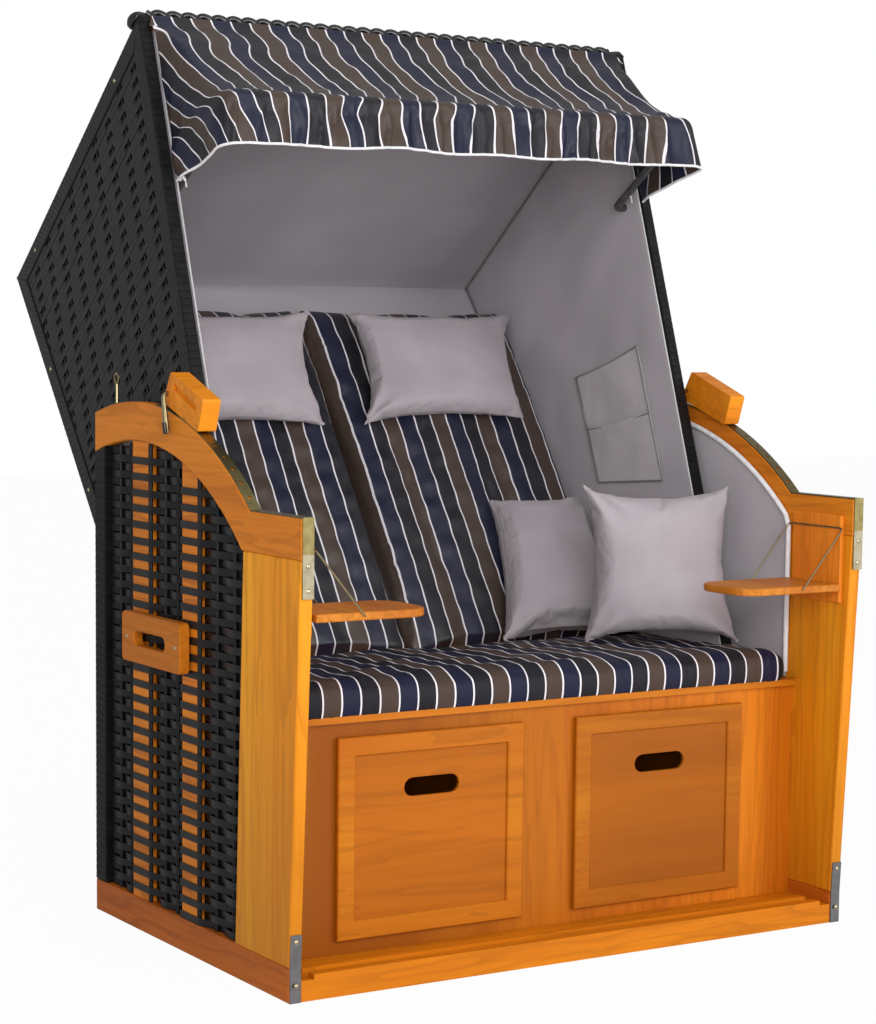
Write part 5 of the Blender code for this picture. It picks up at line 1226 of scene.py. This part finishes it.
def even_mesh(made, voxel):
    """Remeshes an object to even small squares."""
    even = made.modifiers.new("even", "REMESH")
    even.mode = "VOXEL"
    even.voxel_size = voxel
    baked(made)


def spots_of(mesh):
    """A mesh's points as an array."""
    spots = np.empty(len(mesh.vertices) * 3, np.float32)
    mesh.vertices.foreach_get("co", spots)
    return spots.reshape(-1, 3).astype(float)


def set_spots(mesh, spots):
    mesh.vertices.foreach_set("co", spots.astype(np.float32).reshape(-1))
    mesh.update()


def blown_up(made, cap):
    """Cloth with inner pressure for a few frames; the way each point moves is cut off at the cap."""
    rest = spots_of(made.data)
    cloth = made.modifiers.new("padding", "CLOTH")
    cloth.settings.quality = 4
    cloth.settings.mass = 0.2
    cloth.settings.tension_stiffness = 12.0
    cloth.settings.compression_stiffness = 12.0
    cloth.settings.shear_stiffness = 4.0
    cloth.settings.bending_stiffness = 0.4
    cloth.settings.shrink_min = -0.03
    cloth.settings.use_pressure = True
    cloth.settings.uniform_pressure_force = 4.0
    cloth.settings.effector_weights.gravity = 0
    cloth.point_cache.frame_start, cloth.point_cache.frame_end = 1, FRAMES
    for step in range(1, FRAMES + 1):
        bpy.context.scene.frame_set(step)
    baked(made)
    moved = spots_of(made.data) - rest
    size = np.linalg.norm(moved, axis=1, keepdims=True)
    set_spots(made.data, rest + moved * np.minimum(1, cap / np.maximum(size, 1e-9)))
    bpy.context.scene.frame_set(1)


def case_axes(spots):
    """The middle of a pillow, its level direction, its upward direction, the way through it, and its half sizes."""
    middle = (spots.max(0) + spots.min(0)) / 2
    through = np.linalg.svd((spots - spots.mean(0))[::7], full_matrices=False)[2][2]
    level = np.cross((0, 0, 1), through)
    level /= np.linalg.norm(level)
    axes = np.array([level, np.cross(through, level), through])
    flat = (spots - middle) @ axes.T
    centre = (flat.max(0) + flat.min(0)) / 2
    return middle + centre @ axes, axes, (flat.max(0) - flat.min(0)) / 2


def sewn_case(spots, pull=0.05):
    """Edges drawn in, corners drawn out and thinned: the outline of a case sewn from two flat squares."""
    middle, axes, half = case_axes(spots)
    u, v, w = ((spots - middle) @ axes.T).T
    a, b = u / half[0], v / half[1]
    u = u * (1 + 0.03 * a**2 * b**2 - pull * (1 - b**2).clip(0) * a**2)
    v = v * (1 + 0.03 * a**2 * b**2 - np.where(b < 0, 1.5, 1.0) * pull * (1 - a**2).clip(0) * b**2)
    rim = np.maximum(np.abs(a), np.abs(b)).clip(0, 1)
    w = w * (1 - 0.45 * rim ** 9) * (1 - 0.4 * (np.abs(a * b).clip(0, 1)) ** 3)
    return middle + np.stack([u, v, w], -1) @ axes


def gathered(spots):
    """Puckers that fan out of the corners and a few slack folds along the edges."""
    middle, axes, half = case_axes(spots)
    u, v, w = ((spots - middle) @ axes.T).T
    up = np.clip(w / 0.012, -1, 1)
    deep = waves(u, v, 61, (0.11, 0.26)) * 0.0016
    for i in (-1, 1):
        for j in (-1, 1):
            du, dv = half[0] - u * i, half[1] - v * j
            away, turn = np.hypot(du, dv), np.arctan2(dv, du)
            deep = deep + 0.005 * np.sin(turn * 10 + 2 * i + j) * np.exp(-((away - 0.055) / 0.035) ** 2)
    a, b = np.abs(u / half[0]), np.abs(v / half[1])
    deep = deep + 0.0016 * humps(v, 0.031, 63) * np.exp(-((a - 0.93) / 0.07) ** 2) * (1 - b**4).clip(0)
    deep = deep + 0.0014 * humps(u, 0.034, 64) * np.exp(-((b - 0.92) / 0.08) ** 2) * (1 - a**4).clip(0)
    scallop = 0.0014 * (humps(v, 0.031, 63) * rising(a, 0.8, 0.2))
    return spots + (up * deep)[:, None] * axes[2] + (scallop * np.sign(u))[:, None] * axes[0]


def moved_case(low, high, down_low, down_high, grow=0.0):
    """Slides a leaning pillow down its cushion and over to one side, differently at its lower and upper edge."""
    def moved(spots):
        middle, half = (spots.max(0) + spots.min(0)) / 2, (spots.max(0) - spots.min(0)) / 2
        share = (spots[:, 2] - middle[2]) / half[2] / 2 + 0.5
        across, down = low + (high - low) * share, down_low + (down_high - down_low) * share
        wide = (spots[:, 0] - middle[0]) * (0.01 + grow * (share * 2 - 1))
        return sewn_case(spots + np.stack([across + wide, -0.7 * down, -down], -1))
    return moved


def taller(spots):
    """Stretches a back cushion along the hood's back, so that it ends just under the roof lining."""
    foot = np.array((0, LOW_REAR[0] + SHIFT, LOW_REAR[1]))
    up = np.array((0, *-BACK_WAY))
    run = (spots - foot) @ up
    low, high = run.min(), run.max()
    wide = np.sign(spots[:, 0]) * 0.0036 * (1 - np.abs(spots[:, 0]) / 0.52).clip(0)
    return spots + ((run - low) / (high - low) * 0.042)[:, None] * up - np.stack([wide, wide * 0, wide * 0], -1)


def overhanging(spots):
    """Lowers and brings forward the front edge of the seat cushion, which hangs over the seat board."""
    front = np.clip((-0.262 - spots[:, 1]) / 0.02, 0, 1)
    low = np.clip((0.495 - spots[:, 2]) / 0.03, 0, 1)
    return spots + np.stack([front * 0, -0.004 * front, -0.013 * front * low], -1)


def rumpled(spots):
    """Long soft wrinkles across the top of the seat and small gathers along its front edge."""
    top = rising(spots[:, 2], 0.49, 0.02)
    front = np.exp(-((spots[:, 1] + 0.28) / 0.03) ** 2)
    wrinkle = 0.0022 * waves(spots[:, 0] * 0.5, spots[:, 1], 91, (0.04, 0.13)) * top
    gather = 0.0011 * humps(spots[:, 0], 0.021, 92) * front
    return spots + np.stack([gather * 0, -gather, wrinkle + gather * top], -1)


CREASE_DEPTH, CREASE_WIDTH = 0.006, 0.012


def creased(paths):
    """Presses valleys along paths (across, height) into the front of a cushion."""
    def pressed(spots):
        push = np.zeros(len(spots))
        for path in paths:
            x = np.interp(spots[:, 2], [p[1] for p in path], [p[0] for p in path])
            fade = np.clip(np.minimum(spots[:, 2] - path[0][1], path[-1][1] - spots[:, 2]) / 0.05, 0, 1)
            push = push + np.exp(-((spots[:, 0] - x) / CREASE_WIDTH) ** 2) * fade
        wrinkle = 0.0017 * waves(spots[:, 0] * 0.8, spots[:, 2], 71, (0.035, 0.11))
        behind = np.array((0, -BACK_WAY[1], BACK_WAY[0]))
        return spots + (push * CREASE_DEPTH + wrinkle)[:, None] * behind
    return pressed


def padded_piece(name, source, voxel, look, body, cap, shrink, before=None, after=None):
    """A CAD cushion remeshed, made a little smaller, blown up, and shaped by the functions before and after."""
    made = bpy.data.objects.new(name, NODES[source].data.copy())
    bpy.context.scene.collection.objects.link(made)
    made.data.materials.clear()
    if before:
        set_spots(made.data, before(spots_of(made.data)))
    even_mesh(made, voxel)
    normals = np.empty(len(made.data.vertices) * 3, np.float32)
    made.data.vertices.foreach_get("normal", normals)
    set_spots(made.data, spots_of(made.data) - normals.reshape(-1, 3) * shrink)
    blown_up(made, cap)
    if after:
        set_spots(made.data, after(spots_of(made.data)))
    settled(made, look, body, True, [source])
    smooth = made.modifiers.new("smooth", "SUBSURF")
    smooth.levels = smooth.render_levels = 1
    return made


SEAT_CLOTH = striped_cloth("seat_cloth", 0.35, gloss=0.16, sheen=0.0)
BACK_CLOTH = striped_cloth("back_cloth", 0.35, gloss=0.55, roughness=0.42)
CREASES = {"right": [[(0.13, 0.62), (0.12, 0.75), (0.1, 0.9), (0.09, 1.1)], [(0.34, 0.6), (0.31, 0.72), (0.3, 0.85)]],
           "left": [[(-0.22, 0.66), (-0.24, 0.8), (-0.25, 0.95)], [(-0.08, 0.55), (-0.09, 0.75), (-0.1, 0.9)]]}
NECK_MOVES = {"right": moved_case(-0.024, 0.028, 0.028, 0.008, 0.02),
              "left": moved_case(-0.0066, 0.033, 0.036, 0.012, 0.02)}
# When the hood comes forward, its back presses the rear pillow flat and its side presses the front one's end; the loose
# pillows below are made as they lie, unpressed.
PRESSED = {"front": ((1, 0, 0), (0.245, -0.1, 0.52), 0.92), "rear": ((0, 1, 0), (0.33, 0.03, 0.52), 0.5)}
padded_piece("seat_pad", "seat_cushion", 0.008, SEAT_CLOTH, "base", 0.008, 0.003, overhanging, rumpled)
for word, side in SIDES:
    padded_piece("back_pad_" + word, "back_cushion_" + word, 0.007, BACK_CLOTH, "hood", 0.008, 0.002,
                 taller, creased(CREASES[word]))
    padded_piece("foot_pad_" + word, "foot_cushion_" + word, 0.007, SEAT_CLOTH, "footrest_" + word, 0.004, 0.002)
    padded_piece("neck_cushion_" + word, "neck_pillow_" + word, 0.005, PILLOW_CLOTH, "hood", 0.012, 0.004,
                 NECK_MOVES[word], gathered)
for word, (direction, anchor, keep) in PRESSED.items():
    made = padded_piece("loose_cushion_" + word, "scatter_pillow_" + word, 0.006, PILLOW_CLOTH, "base", 0.014,
                        0.005, lambda spots: sewn_case(spots, 0.012), gathered)
    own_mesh(made)
    count_faces(made)

# %% [markdown]
# ## The stage
# A pale floor and soft daylight from the front and above. The background is white only to the camera and in
# reflections, so it adds no light to the chair.

# %% Floor, world and lamps
def pale(name, tone, seen):
    """A matt surface that is also plain white to the camera by a given share, so that shadows stay faint."""
    f = Finish(name, Roughness=0.9, Specular_IOR_Level=0.1)
    f.done(Base_Color=tone)
    path = f.tree.nodes.new("ShaderNodeLightPath")
    eye = Value(f, path.outputs["Is Camera Ray"])
    glow = f.tree.nodes.new("ShaderNodeEmission")
    glow.inputs["Color"].default_value = (1, 1, 1, 1)
    mixer = f.tree.nodes.new("ShaderNodeMixShader")
    f.feed(mixer.inputs[0], eye * seen)
    f.tree.links.new(f.shader.outputs[0], mixer.inputs[1])
    f.tree.links.new(glow.outputs[0], mixer.inputs[2])
    f.tree.links.new(mixer.outputs[0], f.tree.nodes["Material Output"].inputs[0])
    return f.look


def floor():
    """A square, its corners in order round it, a hair below the chair's feet."""
    half, low = 14, -0.0005
    grid = quad_grid([(-half, -half, low), (half, -half, low), (half, half, low), (-half, half, low)], 2, 2)
    made = piece("floor", [(grid, False, None)], pale("floor_paper", (0.8, 0.8, 0.8), 0.96), None)


def white_world():
    """Soft light from everywhere; the camera and clear things see plain white instead."""
    world = bpy.data.worlds.new("studio")
    bpy.context.scene.world = world
    world.use_nodes = True
    tree = world.node_tree
    plain = tree.nodes["Background"]
    plain.inputs["Color"].default_value = (1, 1, 1, 1)
    plain.inputs["Strength"].default_value = 0.55
    seen = tree.nodes.new("ShaderNodeBackground")
    seen.inputs["Color"].default_value = (1, 1, 1, 1)
    seen.inputs["Strength"].default_value = 1.0
    path = tree.nodes.new("ShaderNodeLightPath")
    pick = tree.nodes.new("ShaderNodeMath")
    pick.operation = "MAXIMUM"
    tree.links.new(path.outputs["Is Camera Ray"], pick.inputs[0])
    tree.links.new(path.outputs["Is Transmission Ray"], pick.inputs[1])
    mixer = tree.nodes.new("ShaderNodeMixShader")
    tree.links.new(pick.outputs[0], mixer.inputs[0])
    tree.links.new(plain.outputs[0], mixer.inputs[1])
    tree.links.new(seen.outputs[0], mixer.inputs[2])
    tree.links.new(mixer.outputs[0], tree.nodes["World Output"].inputs[0])


def lamp(name, place, target, power, size):
    data = bpy.data.lights.new(name, "AREA")
    data.energy, data.size = power, size  # watts, and metres along an edge
    made = bpy.data.objects.new(name, data)
    made.location = place
    made.rotation_euler = (Vector(target) - Vector(place)).to_track_quat("-Z", "Y").to_euler()
    bpy.context.scene.collection.objects.link(made)


floor()
white_world()
lamp("key", (-1.9, -4.0, 1.9), (0, 0, 0.9), 120, 2.2)
lamp("fill", (2.2, -3.8, 1.3), (0, 0, 0.9), 72, 2.4)
lamp("top", (0.2, -0.6, 4.2), (0, 0, 0.8), 14, 2.4)
bpy.context.scene.view_settings.view_transform = "Standard"
print("stage set")
